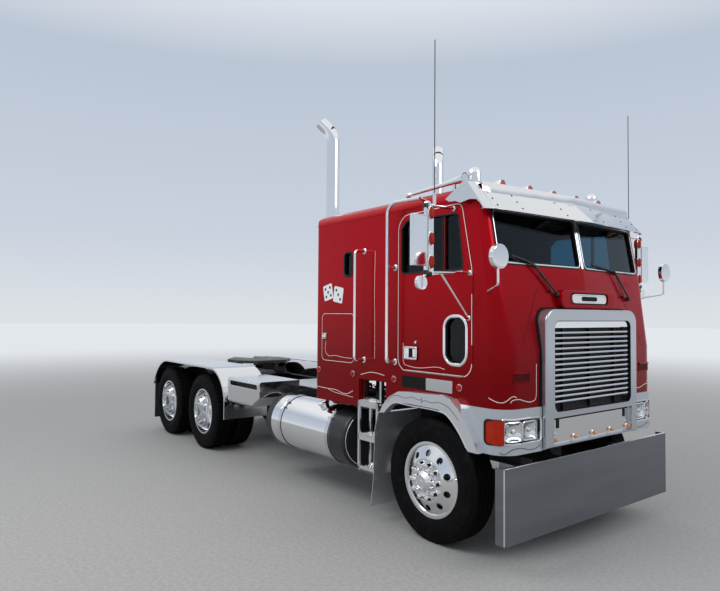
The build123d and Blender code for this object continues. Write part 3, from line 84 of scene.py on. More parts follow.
class Flow:
    """A socket whose arithmetic adds Math nodes, and Vector Math nodes where it holds a vector."""

    def __init__(self, finish, socket):
        self.finish, self.socket = finish, socket

    def math(self, operation, *others):
        kind = "VectorMath" if self.socket.type == "VECTOR" else "Math"
        return self.finish.node(kind, {"operation": operation}, dict(enumerate((self, *others))))

    def __add__(self, other):
        return self.math("ADD", other)

    def __sub__(self, other):
        return self.math("SUBTRACT", other)

    def __mul__(self, other):
        return self.math("MULTIPLY", other)

    def __rsub__(self, other):
        return self.finish.node("Math", {"operation": "SUBTRACT"}, {0: other, 1: self})

    def __gt__(self, other):
        return self.math("GREATER_THAN", other)

    def __lt__(self, other):
        return self.math("LESS_THAN", other)

    def __abs__(self):
        return self.math("ABSOLUTE")

    __radd__ = __add__
    __rmul__ = __mul__

    def ramp(self, *stops):
        """Maps to colours at the given stops."""
        return self.finish.node("ValToRGB", {"stops": stops}, {0: self})

    def part(self, low, high):
        """0 at low and 1 at high, held there beyond them, with a smooth run between."""
        settings = {"interpolation_type": "SMOOTHSTEP"}
        return self.finish.node("MapRange", settings, {"Value": self, "From Min": low, "From Max": high})

    def within(self, low, high, soft=0.002):
        """1 between two values and 0 outside them."""
        return self.part(low - soft, low) * (1 - self.part(high, high + soft))

    def axis(self, name):
        return self.finish.node("SeparateXYZ", {}, {0: self}, name)


class Finish:
    """A material's node tree, with one way to add a node to it."""

    def __init__(self, name, tree=None):
        if tree is None:
            self.material = bpy.data.materials.new(name)
            self.material.use_nodes = True
            tree = self.material.node_tree
        self.tree = tree

    def node(self, kind, settings=None, inputs=None, output=0):
        made = self.tree.nodes.new("ShaderNode" + kind)
        for key, value in (settings or {}).items():
            if key == "stops":
                while len(made.color_ramp.elements) < len(value):
                    made.color_ramp.elements.new(0.5)
                for element, (place, shade) in zip(made.color_ramp.elements, value):
                    element.position = place
                    element.color = (*shade, 1)
            else:
                setattr(made, key, value)
        for key, value in (inputs or {}).items():
            self.join(value, made.inputs[key])
        return Flow(self, made.outputs[output])

    def join(self, value, socket):
        if isinstance(value, Flow):
            self.tree.links.new(value.socket, socket)
        elif socket.type == "RGBA" and len(value) == 3:
            socket.default_value = (*value, 1)
        else:
            socket.default_value = value

    def place(self):
        """Where a point of the piece is, in the tractor's frame at rest."""
        return self.node("TexCoord", {}, {}, "Object")

    def ripple(self, axis, pitch_length):
        """A sine along one of the tractor's axes, from 0 to 1."""
        return (self.place().axis(axis) * (2 * math.pi / pitch_length)).math("SINE") * 0.5 + 0.5

    def noise(self, scale, detail=3, stretch=(1, 1, 1)):
        spot = self.place().math("MULTIPLY", stretch)
        return self.node("TexNoise", {}, {"Vector": spot, "Scale": scale, "Detail": detail})

    def mix(self, share, first, second):
        return self.node("Mix", {"data_type": "RGBA"}, {"Factor": share, 6: first, 7: second}, 2)

    def mottle(self, first, second, scale, detail):
        """A colour that drifts between two shades."""
        return self.mix(self.noise(scale, detail), first, second)

    def bump(self, height, depth):
        """A normal from a height of 0 to 1, where 1 stands depth metres proud."""
        return self.node("Bump", {}, {"Height": height, "Distance": depth})

    def surface(self, **inputs):
        """The shader's own sockets, by name with underscores for spaces."""
        shader = self.tree.nodes["Principled BSDF"]
        for key, value in inputs.items():
            self.join(value, shader.inputs[key.replace("_", " ")])
        return self.material


sky = bpy.data.worlds.new("sky")
sky.use_nodes = True
bpy.context.scene.world = sky
horizon_pale = (0.76, 0.79, 0.83)
sky_strength = 0.95
studio = Finish("sky", sky.node_tree)
height = studio.node("TexCoord", {}, {}, "Generated").axis("Z")
overhead = (height * 0.5 + 0.5).ramp(
    (0.0, horizon_pale), (0.5, horizon_pale), (0.56, (0.62, 0.68, 0.77)), (0.69, (0.52, 0.59, 0.70)),
    (0.77, (0.97, 0.98, 1.0)), (1.0, (0.90, 0.92, 0.95)),
)
background = sky.node_tree.nodes["Background"]
studio.join(overhead, background.inputs["Color"])
background.inputs["Strength"].default_value = sky_strength


def soft_lamp(name, place, size, power):
    """A broad soft lamp that looks at the tractor."""
    data = bpy.data.lights.new(name, "AREA")
    data.shape = "RECTANGLE"
    data.size, data.size_y = size
    data.energy = power
    lamp = bpy.data.objects.new(name, data)
    lamp.location = place
    lamp.rotation_euler = (Vector((1.5, 0, 1.5)) - lamp.location).to_track_quat("-Z", "Y").to_euler()
    bpy.context.scene.collection.objects.link(lamp)


soft_lamp("key_lamp", (1.0, -7.5, 8.5), (6, 4), 380)
soft_lamp("front_lamp", (11.0, 2.5, 7.0), (5, 4), 180)

floor_mesh = bpy.data.meshes.new("floor")
floor_form = bmesh.new()
bmesh.ops.create_circle(floor_form, cap_ends=True, segments=64, radius=120)
floor_form.to_mesh(floor_mesh)
floor_form.free()
floor = bpy.data.objects.new("floor", floor_mesh)
bpy.context.scene.collection.objects.link(floor)
pale = Finish("pale_floor")
away = pale.node("VectorMath", {"operation": "LENGTH"}, {0: pale.place()}, "Value")
fade = away.part(5, 30)
grit = pale.noise(30, 5).part(0.3, 0.7)
pale.surface(
    Base_Color=pale.mix(fade, pale.mix(grit, (0.33, 0.327, 0.32), (0.38, 0.376, 0.368)), (0, 0, 0)),
    Roughness=0.8,
    Specular_IOR_Level=0.2,
    Emission_Color=pale.mix(fade, (0, 0, 0), tuple(sky_strength * c for c in horizon_pale)),
    Emission_Strength=1.0,
)
floor.data.materials.append(pale.material)


# Frame rails, crossmembers and axles
# Pressed and welded steel under black chassis paint, dusty in patches and greyer low down.
# Hexagon bolts hold the crossmembers to the rails.
sides = (("right", -1), ("left", 1))
half_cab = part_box("cab_back")[1].y
rail_y = 0.430
axle_z = 0.530
front_axle_x, drive_axle_x, rear_axle_x = -0.876, -5.505, -6.839


def dress(finish, *names):
    """Gives CAD nodes one material."""
    for name in names:
        nodes[name].data.materials.clear()
        nodes[name].data.materials.append(finish)


def piece(name, body, finish, form, sharp=35):
    """Makes an object from a bmesh, smooth but for edges over the sharp angle, and fixes it to a body."""
    bmesh.ops.remove_doubles(form, verts=form.verts, dist=0.00002)
    bmesh.ops.recalc_face_normals(form, faces=form.faces)
    for face in form.faces:
        face.smooth = True
    for edge in form.edges:
        edge.smooth = len(edge.link_faces) == 2 and edge.calc_face_angle(0) < math.radians(sharp)
    mesh = bpy.data.meshes.new(name)
    form.to_mesh(mesh)
    form.free()
    made = bpy.data.objects.new(name, mesh)
    bpy.context.scene.collection.objects.link(made)
    mesh.materials.append(finish)
    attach(made, body)
    return made


def frame_of(direction):
    """Two directions square to the given one, and that one, as a matrix."""
    ahead = Vector(direction).normalized()
    first = Vector((0, 0, 1)) if abs(ahead.z) < 0.9 else Vector((1, 0, 0))
    side = first.cross(ahead).normalized()
    return Matrix((side, ahead.cross(side), ahead)).transposed()


def lathe(form, profile, place, direction, segments=24, closed=False):
    """Turns (radius, distance) points about a line; ends at radius 0 close themselves."""
    basis = frame_of(direction)
    rings = []
    for radius, distance in profile:
        count = segments if radius > 1e-6 else 1
        ring = []
        for n in range(count):
            angle = 2 * math.pi * n / segments
            spot = Vector((radius * math.cos(angle), radius * math.sin(angle), distance))
            ring.append(form.verts.new(Vector(place) + basis @ spot))
        rings.append(ring)
    for low, high in zip(rings, rings[1:] + rings[:1] if closed else rings[1:]):
        for n in range(segments):
            after = n + 1
            corners = [low[n % len(low)], low[after % len(low)], high[after % len(high)], high[n % len(high)]]
            corners = [c for k, c in enumerate(corners) if c not in corners[:k]]
            if len(corners) > 2:
                form.faces.new(corners)


def bolt(form, place, direction, radius=0.011, height=0.009):
    """A hexagon head on a washer."""
    lathe(form, [(radius * 1.35, 0), (radius * 1.35, 0.002), (radius, 0.0021)], place, direction, 12)
    profile = [(radius, 0.0021), (radius, height * 0.85), (radius * 0.8, height), (0, height)]
    lathe(form, profile, place, direction, 6)


black_paint = Finish("chassis_black")
dust = black_paint.noise(3.5, 6).part(0.45, 0.8)
grain = black_paint.noise(220, 2)
low_down = 1 - black_paint.place().axis("Z").part(0.3, 0.9)
chassis_black = black_paint.surface(
    Base_Color=black_paint.mix(dust * 0.6 + low_down * 0.3, (0.010, 0.010, 0.011), (0.05, 0.046, 0.041)),
    Roughness=dust * 0.3 + 0.36,
    Specular_IOR_Level=0.25,
    Normal=black_paint.bump(grain, 0.0004),
)
dress(
    chassis_black, "frame", "front_axle", "rear_axles", "knuckle_right", "knuckle_left", "fifth_wheel_base"
)
form = bmesh.new()
for side, sign in sides:
    for x in (-0.48, -2.83, -3.70, -4.70, -6.17, -7.26):
        for dx in (-0.035, 0.035):
            for z in (0.80, 0.85, 0.90):
                bolt(form, at(x + dx, sign * rail_y, z), (0, sign, 0))
    for x in (-5.10, -5.30, -5.72, -5.92, -6.40, -6.62, -7.02):
        for z in (0.76, 0.92):
            bolt(form, at(x, sign * rail_y, z), (0, sign, 0), 0.013, 0.011)
piece("frame_bolts", "chassis", chassis_black, form)

# Engine and radiator
# The engine is a cast block in grey paint, and the radiator a matt black core of thin fins.
cast = Finish("engine_casting")
engine_casting = cast.surface(
    Base_Color=cast.mottle((0.07, 0.072, 0.075), (0.16, 0.155, 0.15), 9, 5),
    Roughness=0.62,
    Normal=cast.bump(cast.noise(120, 3), 0.001),
)
dress(engine_casting, "engine")
core = Finish("radiator_core")
fins = core.ripple("Z", 0.004)
radiator_core = core.surface(Base_Color=(0.012, 0.012, 0.013), Roughness=0.6, Normal=core.bump(fins, 0.0015))
dress(radiator_core, "radiator")

# Tyres
# Moulded black rubber, dull and worn greyer in patches. The front tyres have ribs between
# four grooves, and the drive tyres have blocks with open shoulders.
rubber = Finish("tyre_rubber")
wear = rubber.noise(12, 5)
tyre_rubber = rubber.surface(
    Base_Color=rubber.mix(wear.part(0.5, 0.8), (0.004, 0.004, 0.0045), (0.011, 0.011, 0.0105)),
    Roughness=wear * 0.25 + 0.52,
    Specular_IOR_Level=0.06,
    Normal=rubber.bump(rubber.noise(400, 2), 0.0003),
)
sidewall = (
    # offset from the tyre's middle plane, radius
    (0.104, 0.312), (0.113, 0.326), (0.119, 0.334), (0.122, 0.340), (0.1265, 0.343), (0.1285, 0.352),
    (0.1345, 0.375), (0.1385, 0.398), (0.1398, 0.420), (0.1395, 0.432), (0.1380, 0.434), (0.1375, 0.440),
    (0.1350, 0.458), (0.1300, 0.478), (0.1310, 0.481), (0.1305, 0.484), (0.1240, 0.490), (0.1190, 0.506),
    (0.1130, 0.518), (0.1075, 0.525), (0.1035, 0.5285),
)
groove_places = (0.068, 0.024)
groove_depth = 0.012
tread_radius = 0.5298


def skinned(form, rows, open_rows=False, loop=False):
    """Faces between rows of points, which are rings or open lines; a loop joins the last to the first."""
    for one, two in zip(rows, rows[1:] + rows[:1] if loop else rows[1:]):
        for k in range(len(one) - 1 if open_rows else len(one)):
            after = (k + 1) % len(one)
            form.faces.new((one[k], one[after], two[after], two[k]))


def tyre(form, x, y, lugs, cut_depth, cut_places):
    """One tyre: the sidewalls' profile, grooves round the tread, and cuts across it."""
    half = [(offset, radius, 0) for offset, radius in sidewall]
    for groove in groove_places:
        half += [
            (groove + 0.0075, tread_radius, cut_depth), (groove + 0.005, tread_radius - groove_depth, 0),
            (groove - 0.005, tread_radius - groove_depth, 0), (groove - 0.0075, tread_radius, cut_depth),
        ]
    half.append((0.0, tread_radius, cut_depth))
    half = [(o, r, cut_depth if o in cut_places else c) for o, r, c in half]
    profile = half + [(-offset, radius, cut) for offset, radius, cut in reversed(half[:-1])]
    rings = []
    for n in range(lugs):
        for share, inside in ((0.0, 0), (0.72, 0), (0.76, 1), (0.96, 1)):
            angle = 2 * math.pi * (n + share) / lugs
            direction = Vector((math.cos(angle), 0, math.sin(angle)))
            rings.append([
                form.verts.new(at(x, y + offset, axle_z) + direction * (radius - cut * inside))
                for offset, radius, cut in profile
            ])
    skinned(form, rings, open_rows=True, loop=True)


shoulder_offsets = (0.1130, 0.1075, 0.1035)
for side, sign in sides:
    form = bmesh.new()
    tyre(form, front_axle_x, sign * 1.022, 64, 0.0025, ())
    made = piece(f"front_tyre_{side}", f"wheel_front_{side}", tyre_rubber, form)
    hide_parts(f"tyre_front_{side}")
    for number, x in ((1, drive_axle_x), (2, rear_axle_x)):
        form = bmesh.new()
        for y in (1.088, 0.753):
            tyre(form, x, sign * y, 52, 0.013, shoulder_offsets)
        made = piece(
            f"drive_tyres_{number}_{side}", f"wheels_rear_{number}_{side}", tyre_rubber, form
        )
        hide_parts(f"tyres_rear_{number}_{side}")

# Wheels
# Forged aluminium discs, polished bright, with a faint haze. Chrome covers sit over the nuts
# and the hubs, and a valve stem stands in one hand hole.
forged = Finish("polished_aluminium")
haze = forged.noise(14, 4)
polished_aluminium = forged.surface(
    Base_Color=(0.80, 0.805, 0.81),
    Metallic=1.0,
    Roughness=haze.part(0.3, 0.8) * 0.09 + 0.08,
    Normal=forged.bump(forged.noise(60, 2, (1, 0.2, 1)), 0.0001),
)
plated = Finish("chrome")
chrome = plated.surface(
    Base_Color=(0.84, 0.85, 0.86), Metallic=1.0, Roughness=plated.noise(8, 3).part(0.4, 0.9) * 0.05 + 0.03
)
nut_cover = (
    (0.0270, 0.0), (0.0275, 0.004), (0.0235, 0.011), (0.0228, 0.040), (0.0200, 0.047), (0.0120, 0.052),
    (0, 0.053),
)
front_hub = (
    (0.094, 0.0), (0.097, 0.004), (0.0945, 0.010), (0.092, 0.034), (0.0885, 0.0385), (0.080, 0.047),
    (0.0635, 0.0640), (0.060, 0.0675), (0.052, 0.0685), (0.050, 0.0665), (0.020, 0.0665), (0.018, 0.0705),
    (0, 0.0710),
)
drive_hub = (
    (0.104, 0.0), (0.106, 0.005), (0.1025, 0.012), (0.1000, 0.125), (0.0975, 0.1415), (0.0900, 0.1500),
    (0.0745, 0.1660), (0.0700, 0.1685), (0.0300, 0.1715), (0, 0.1725),
)
lug_circle, lug_count = 0.143, 10
valve = (
    (0.006, 0.0), (0.006, 0.018), (0.0045, 0.020), (0.0045, 0.040), (0.0058, 0.041), (0.0058, 0.052),
    (0, 0.053),
)
for side, sign in sides:
    outwards = Vector((0, sign, 0))
    wheels = [(f"wheel_front_{side}", front_axle_x, 1.182, front_hub, 1.150)]
    for number, x in ((1, drive_axle_x), (2, rear_axle_x)):
        wheels.append((f"wheels_rear_{number}_{side}", x, 0.9345, drive_hub, 0.990))
    for name, x, face_y, hub, valve_y in wheels:
        dress(polished_aluminium, name)
        form = bmesh.new()
        lathe(form, hub, at(x, sign * face_y, axle_z), outwards, 48)
        for n in range(lug_count):
            angle = 2 * math.pi * n / lug_count
            spot = Vector((lug_circle * math.cos(angle), 0, lug_circle * math.sin(angle)))
            lathe(form, nut_cover, at(x, sign * face_y, axle_z) + spot, outwards, 16)
        lathe(form, valve, at(x + 0.262, sign * valve_y, axle_z + 0.05), outwards, 10)
        piece(f"{name}_covers", name, chrome, form)

# Fuel tanks, deck boxes and deck plate
# Rolled aluminium sheet, polished to a mirror, with steel straps edged in rubber and bright
# draw bolts. The fillers have round caps, and the tanks' ends are painted black and unpolished
# as painted shade and dark reflection.
tank_x, tank_y, tank_z, tank_radius = (-3.62, -2.03), 0.915, 0.668, 0.305
strap_x = (-3.28, -2.33)
sheet = Finish("tank_aluminium")
along = sheet.place().axis("X") - bumper_x
# Painted shade: beyond this band the tanks' ends get a black, unpolished colour, standing in for their shade
# and dark reflections.
clear_of_painted_shade = along.within(-3.475, -2.295, 0.004)
tank_aluminium = sheet.surface(
    Base_Color=sheet.mix(clear_of_painted_shade, (0.012, 0.012, 0.014), (0.84, 0.85, 0.86)),
    Metallic=clear_of_painted_shade,
    Roughness=sheet.noise(10, 4, (0.3, 1, 1)).part(0.3, 0.8) * 0.07 + 0.30 - clear_of_painted_shade * 0.23,
    Normal=sheet.bump(sheet.noise(3, 1), 0.002),
)
dress(tank_aluminium, "fuel_tanks")
dress(polished_aluminium, "deck_boxes")
band = Finish("strap_steel")
strap_steel = band.surface(
    Base_Color=(0.70, 0.70, 0.71), Metallic=1.0, Roughness=band.noise(40, 3, (1, 12, 1)) * 0.15 + 0.12
)
dress(strap_steel, "tank_straps")
strip = Finish("strip_rubber")
strip_rubber = strip.surface(
    Base_Color=(0.010, 0.010, 0.011), Roughness=0.5, Specular_IOR_Level=0.25,
    Normal=strip.bump(strip.noise(300, 2), 0.0002),
)
cap_profile = (
    (0.052, 0.0), (0.052, 0.022), (0.048, 0.024), (0.060, 0.025), (0.0625, 0.029), (0.0625, 0.047),
    (0.059, 0.052), (0.030, 0.055), (0.028, 0.052), (0.0, 0.052),
)
filler_x, filler_tilt = -2.62, 24
draw_bolt_tilts, draw_bolt_middle = (38, 52), 45


def leaning(sign, degrees):
    """A direction out of the tank, so many degrees from straight up."""
    return Vector((0, sign * math.sin(math.radians(degrees)), math.cos(math.radians(degrees))))


for side, sign in sides:
    form = bmesh.new()
    for x in strap_x:
        for edge in (-0.0285, 0.0255):
            low, high = tank_radius - 0.001, tank_radius + 0.0045
            ring = [(low, edge), (high, edge), (high, edge + 0.003), (low, edge + 0.003)]
            lathe(form, ring, at(x, sign * tank_y, tank_z), (1, 0, 0), 72, closed=True)
    piece(f"strap_rubber_{side}", "chassis", strip_rubber, form)
    form = bmesh.new()
    lean = leaning(sign, filler_tilt)
    lathe(form, cap_profile, at(filler_x, sign * tank_y, tank_z) + lean * (tank_radius - 0.004), lean, 32)
    for x in strap_x:
        for tilt in draw_bolt_tilts:
            lean = leaning(sign, tilt)
            base = at(x, sign * tank_y, tank_z) + lean * (tank_radius + 0.005)
            lathe(form, [(0.012, -0.03), (0.012, 0.03)], base + lean * 0.010, (1, 0, 0), 12)
        lean = leaning(sign, draw_bolt_middle)
        along = Vector((0, sign * lean.z, -abs(lean.y)))
        base = at(x, sign * tank_y, tank_z) + lean * (tank_radius + 0.016)
        lathe(form, [(0, -0.075), (0.006, -0.075), (0.006, 0.075), (0, 0.075)], base, along, 10)
    for end, outwards in ((tank_x[0], -1), (tank_x[1], 1)):
        weld = [
            (tank_radius - inset, rise)
            for inset, rise in ((0.040, 0.0), (0.037, 0.003), (0.032, 0.003), (0.029, 0.0))
        ]
        middle = at(end, sign * tank_y, tank_z) - Vector((outwards * 0.0005, 0, 0))
        lathe(form, weld, middle, (outwards, 0, 0), 72)
    piece(f"tank_fittings_{side}", "chassis", chrome, form)

tread = Finish("tread_plate")
checks = tread.ripple("X", 0.03) * tread.ripple("Y", 0.03)
tread_plate = tread.surface(
    Base_Color=(0.62, 0.63, 0.64), Metallic=1.0, Roughness=0.32,
    Normal=tread.bump(checks.part(0.6, 0.75), 0.0015),
)
dress(tread_plate, "deck_plate")

# Rear wings, bumper, visor and stacks
# Polished stainless sheet and chromed steel: near mirrors, with slight waves in the sheet.
# The wings have a rolled edge, and the bumper has bright lips above and below a face whose
# chrome is painted dark, as a painted reflection of the dark ground.
mirror = Finish("mirror_stainless")
mirror_stainless = mirror.surface(
    Base_Color=(0.76, 0.77, 0.78),
    Metallic=1.0,
    Roughness=mirror.noise(5, 4).part(0.3, 0.8) * 0.08 + 0.05,
    Normal=mirror.bump(mirror.noise(2.2, 1), 0.004),
)
dress(mirror_stainless, "rear_wings", "visor")
# Painted reflection: this chrome has a dark grey base colour that stands in for the dark ground it reflects.
dark_chrome = Finish("chrome_with_painted_dark_reflection")
streaks = dark_chrome.noise(3, 6, (1, 0.35, 2.5))
chrome_with_painted_dark_reflection = dark_chrome.surface(
    Base_Color=dark_chrome.mix(streaks, (0.17, 0.185, 0.21), (0.27, 0.285, 0.31)),
    Metallic=1.0,
    Roughness=streaks * 0.10 + 0.08,
    Normal=dark_chrome.bump(dark_chrome.noise(1.6, 1), 0.005),
)
dress(chrome_with_painted_dark_reflection, "bumper")
dress(chrome, "exhausts", "grab_bars", "roof_fittings", "corner_mirrors")
stem = Finish("mirror_stem_chrome")
whip = stem.place().axis("Z") > 2.905
stem_chrome = stem.surface(
    Base_Color=stem.mix(whip, (0.84, 0.85, 0.86), (0.02, 0.02, 0.022)),
    Metallic=1 - whip,
    Roughness=stem.noise(8, 3) * 0.05 + 0.04 + whip * 0.3,
)
dress(stem_chrome, "door_mirror_right", "door_mirror_left")


def moulding(form, points, outward, section, closed=False):
    """Sweeps a closed section of (across, out) points along a line that lies on a surface.

    Outward is the surface's direction, a list of one for each point, or a function of the point.
    """
    rings, last = [], len(points) - 1
    for n, point in enumerate(points):
        before = points[n - 1] if n or closed else point
        after = points[(n + 1) % len(points)] if n < last or closed else point
        if callable(outward):
            out = outward(point)
        else:
            out = outward[n] if isinstance(outward, list) else Vector(outward)
        side = (after - before).cross(out).normalized()
        rings.append([form.verts.new(point + side * a + out * b) for a, b in section])
    skinned(form, rings, loop=closed)
    if not closed:
        form.faces.new(rings[0])
        form.faces.new(rings[-1])


def bead(half_width, height, sink=0.001):
    """A low rounded section for a trim strip."""
    return [
        (-half_width, -sink), (-half_width, height * 0.35), (-half_width * 0.6, height * 0.9), (0, height),
        (half_width * 0.6, height * 0.9), (half_width, height * 0.35), (half_width, -sink),
    ]


def arc_points(centre_x, centre_z, radius, start, end, count=16):
    """Points (x, z) round an arc, angles in degrees from +X towards +Z."""
    angles = [math.radians(start + (end - start) * k / count) for k in range(count + 1)]
    return [(centre_x + radius * math.cos(a), centre_z + radius * math.sin(a)) for a in angles]


def dome(form, place, direction, radius=0.0045, height=0.0022):
    """A rivet's low round head."""
    profile = [(radius, -0.0004), (radius * 0.95, height * 0.45), (radius * 0.6, height * 0.9), (0, height)]
    lathe(form, profile, place, direction, 8)


bumper_half = 1.219
form = bmesh.new()
for x, z, out, lip in (
    (-0.004, 0.240, (1, 0, 0), bead(0.009, 0.0035)), (-0.004, 0.794, (1, 0, 0), bead(0.009, 0.0035)),
    (-0.012, 0.802, (0, 0, 1), bead(0.010, 0.004)),
):
    moulding(form, [at(x, y / 10 * bumper_half, z) for y in range(-10, 11)], out, lip)
for side, sign in sides:
    line = [at(-0.012, sign * bumper_half, z) for z in (0.236, 0.515, 0.798)]
    moulding(form, line, (0, sign, 0), bead(0.007, 0.002))
piece("bumper_lips", "chassis", chrome, form)


def beside(y, outline):
    """Outline points (x, z) set square to the tractor's side."""
    return [at(x, y, z) for x, z in outline]


wing_line = [(-4.695, 0.52), (-4.695, 0.71)] + arc_points(-5.175, 0.71, 0.48, 0, 90)[1:]
wing_line += [(-5.8, 1.19), (-6.4, 1.19)] + arc_points(rear_axle_x, axle_z, 0.66, 90, 158)
form = bmesh.new()
for side, sign in sides:
    for y, flange in ((0.602, 0.008), (1.248, 0.022)):
        inward = sign * flange
        section = [(0, -0.001), (0, 0.0012), (inward, 0.0012), (inward, -0.001)]
        moulding(form, beside(sign * y, wing_line), (0, sign, 0), section)
    for y in (0.70, 0.92, 1.14):
        dome(form, at(-6.17, sign * y, 1.19), (0, 0, 1), 0.010, 0.004)
piece("wing_edges", "chassis", chrome, form)

# Visor details
# The visor's sheet is riveted in columns, with a hem at its lower edge and a folded cap over
# the roof's front.
visor_stations = (
    # distance from the middle, x and z of the lower edge, x of the upper edge
    (0.0, -0.005, 2.755, -0.300), (1.120, -0.170, 2.780, -0.378), (1.201, -0.215, 2.780, -0.400),
)
visor_top_z = 3.024


def between_rows(rows, place):
    """The values in rows (place, value, ...), worked out between the two rows round a place."""
    for low, high in zip(rows, rows[1:]):
        if place <= high[0]:
            break
    share = (place - low[0]) / (high[0] - low[0])
    return [a + (b - a) * share for a, b in zip(low[1:], high[1:])]


def visor_point(y, share, proud=0.0):
    """A point on the visor's face, from its lower edge at 0 to its upper edge at 1."""
    low_x, low_z, high_x = between_rows(visor_stations, abs(y))
    point = at(low_x + (high_x - low_x) * share, y, low_z + (visor_top_z - low_z) * share)
    return point + visor_normal * proud


visor_normal = Vector((0.674, 0, 0.738))
dark_rivet = Finish("dark_rivets")
rivet_steel = dark_rivet.surface(
    Base_Color=(0.12, 0.12, 0.125), Metallic=0.9, Roughness=dark_rivet.noise(90, 2) * 0.2 + 0.25
)
form = bmesh.new()
for y in (-1.07, -0.80, -0.28, 0.28, 0.80, 1.07):
    for share in (0.16, 0.40, 0.64):
        dome(form, visor_point(y, share), visor_normal, 0.0095, 0.004)
piece("visor_rivets", "cab", rivet_steel, form)
form = bmesh.new()
for y in (-1.119, 1.119):
    moulding(form, [visor_point(y, k / 8) for k in range(9)], visor_normal, bead(0.005, 0.0015))
line = [visor_point(y / 20 * 1.2, 0.012) for y in range(-20, 21)]
moulding(form, line, visor_normal, bead(0.006, 0.003))
visor_hem = form

# Stack tips and clamps
# The pipes are chromed steel, sooty inside the tips, with bolts through their clamps.
soot = Finish("soot")
soot_black = soot.surface(
    Base_Color=soot.mottle((0.006, 0.006, 0.006), (0.03, 0.028, 0.026), 60, 4), Roughness=0.95
)
clamp_bolt = [(0, -0.03), (0.007, -0.03), (0.007, 0.03), (0, 0.03)]
for side, sign in sides:
    form = bmesh.new()
    out = Vector((-1, sign, 0)).normalized()
    lean = (out + Vector((0, 0, 1))).normalized()
    pipe = [v.co for v in nodes["exhausts"].data.vertices if v.co.y * sign > 0]
    mouth = max(point.dot(lean) for point in pipe)
    rim = [point for point in pipe if point.dot(lean) > mouth - 0.002]
    middle = sum(rim, Vector()) / len(rim)
    lathe(form, [(0.0735, -0.002), (0.0728, -0.16), (0, -0.16)], middle, lean, 40)
    piece(f"stack_soot_{side}", "chassis", soot_black, form)
    form = bmesh.new()
    for z in (1.450, 2.250):
        for dz in (0.012, 0.033):
            base = at(-2.775, sign * 0.845, z + dz) + out * -0.098
            lathe(form, clamp_bolt, base, Vector((1, sign, 0)), 10)
    piece(f"stack_clamp_bolts_{side}", "chassis", chrome, form)

# Mud flaps, tail lamps and fifth wheel
# Ribbed black rubber under a bright weight strip, red lamps, and a cast plate dark with grease.
flap = Finish("flap_rubber")
ribs = flap.ripple("Y", 0.03)
flap_rubber = flap.surface(
    Base_Color=flap.mix(flap.noise(3, 5).part(0.45, 0.8), (0.012, 0.012, 0.013), (0.035, 0.033, 0.03)),
    Roughness=0.6, Normal=flap.bump(ribs, 0.002),
)
dress(flap_rubber, "mud_flaps")
grease = Finish("greased_steel")
smear = grease.noise(7, 5)
greased_steel = grease.surface(
    Base_Color=grease.mix(smear, (0.02, 0.018, 0.015), (0.09, 0.085, 0.08)),
    Metallic=0.6, Roughness=smear * 0.5 + 0.15,
)
dress(greased_steel, "fifth_wheel")
red_plastic = Finish("red_lens")
red_lens = red_plastic.surface(
    Base_Color=(0.42, 0.008, 0.008), Roughness=0.14, Coat_Weight=1.0,
    Normal=red_plastic.bump(red_plastic.ripple("Z", 0.007), 0.0006),
)
dress(red_lens, "tail_lamps")
flap_x = -7.42
for side, sign in sides:
    form = bmesh.new()
    line = [at(flap_x - 0.010, sign * (0.625 + 0.0600 * k), 0.232) for k in range(11)]
    moulding(form, line, (-1, 0, 0), bead(0.036, 0.006))
    for k in range(5):
        dome(form, at(flap_x - 0.016, sign * (0.68 + 0.123 * k), 0.232), (-1, 0, 0), 0.008, 0.004)
    for k in range(6):
        dome(form, at(flap_x - 0.010, sign * (0.66 + 0.108 * k), 0.79), (-1, 0, 0), 0.010, 0.005)
    for y in (0.440, 0.545):
        ring = [(0.0462, -0.001), (0.0462, 0.012), (0.0520, 0.010), (0.0535, 0.004), (0.0535, -0.001)]
        lathe(form, ring, at(flap_x, sign * y, 0.805), (-1, 0, 0), 32, closed=True)
    piece(f"flap_strips_{side}", "chassis", chrome, form)

# Cab shell
# Aluminium sheet over a frame, in deep candy red with a fine metallic flake. Its colour is painted
# darker towards the sill as painted shade, and lighter higher up as a painted sky reflection.
# The skirt, the flares and the grille's surround are silver metallic; the flares' silver is painted
# lighter than the skirt's, as painted light.
def flaked(finish, first, second):
    """Paint with a fine metallic flake, between two shades."""
    return finish.mix(finish.noise(900, 1).part(0.4, 0.7), first, second)


red = Finish("candy_red")
# Painted light: depth mixes the red from a dark shade low down, painted shade, to a light one high up, a
# painted sky reflection.
depth = red.place().axis("Z").part(1.2, 2.6)
road_film = 1 - red.place().axis("Z").part(1.0, 1.7)
candy_red = red.surface(
    Base_Color=red.mix(
        depth, flaked(red, (0.17, 0.0006, 0.002), (0.22, 0.0010, 0.004)),
        flaked(red, (0.36, 0.0014, 0.006), (0.46, 0.003, 0.012)),
    ),
    Metallic=0.42,
    Roughness=road_film * 0.10 + 0.24,
    Specular_IOR_Level=0.08,
    Coat_Weight=0.13,
    Coat_Roughness=0.02,
    Coat_IOR=1.33,
    Normal=red.bump(red.noise(3.5, 1), 0.0012),
)
dress(
    candy_red, "cab_front", "cab_side_right", "cab_side_left", "cab_back", "cab_roof",
    "door_right", "door_left", "locker_door_right", "locker_door_left",
)
silver = Finish("silver_metallic")
silver_metallic = silver.surface(
    Base_Color=flaked(silver, (0.43, 0.46, 0.50), (0.54, 0.57, 0.61)),
    Metallic=0.5,
    Roughness=0.30,
    Coat_Weight=0.7,
    Coat_Roughness=0.05,
)
dress(silver_metallic, "cab_lower_front")
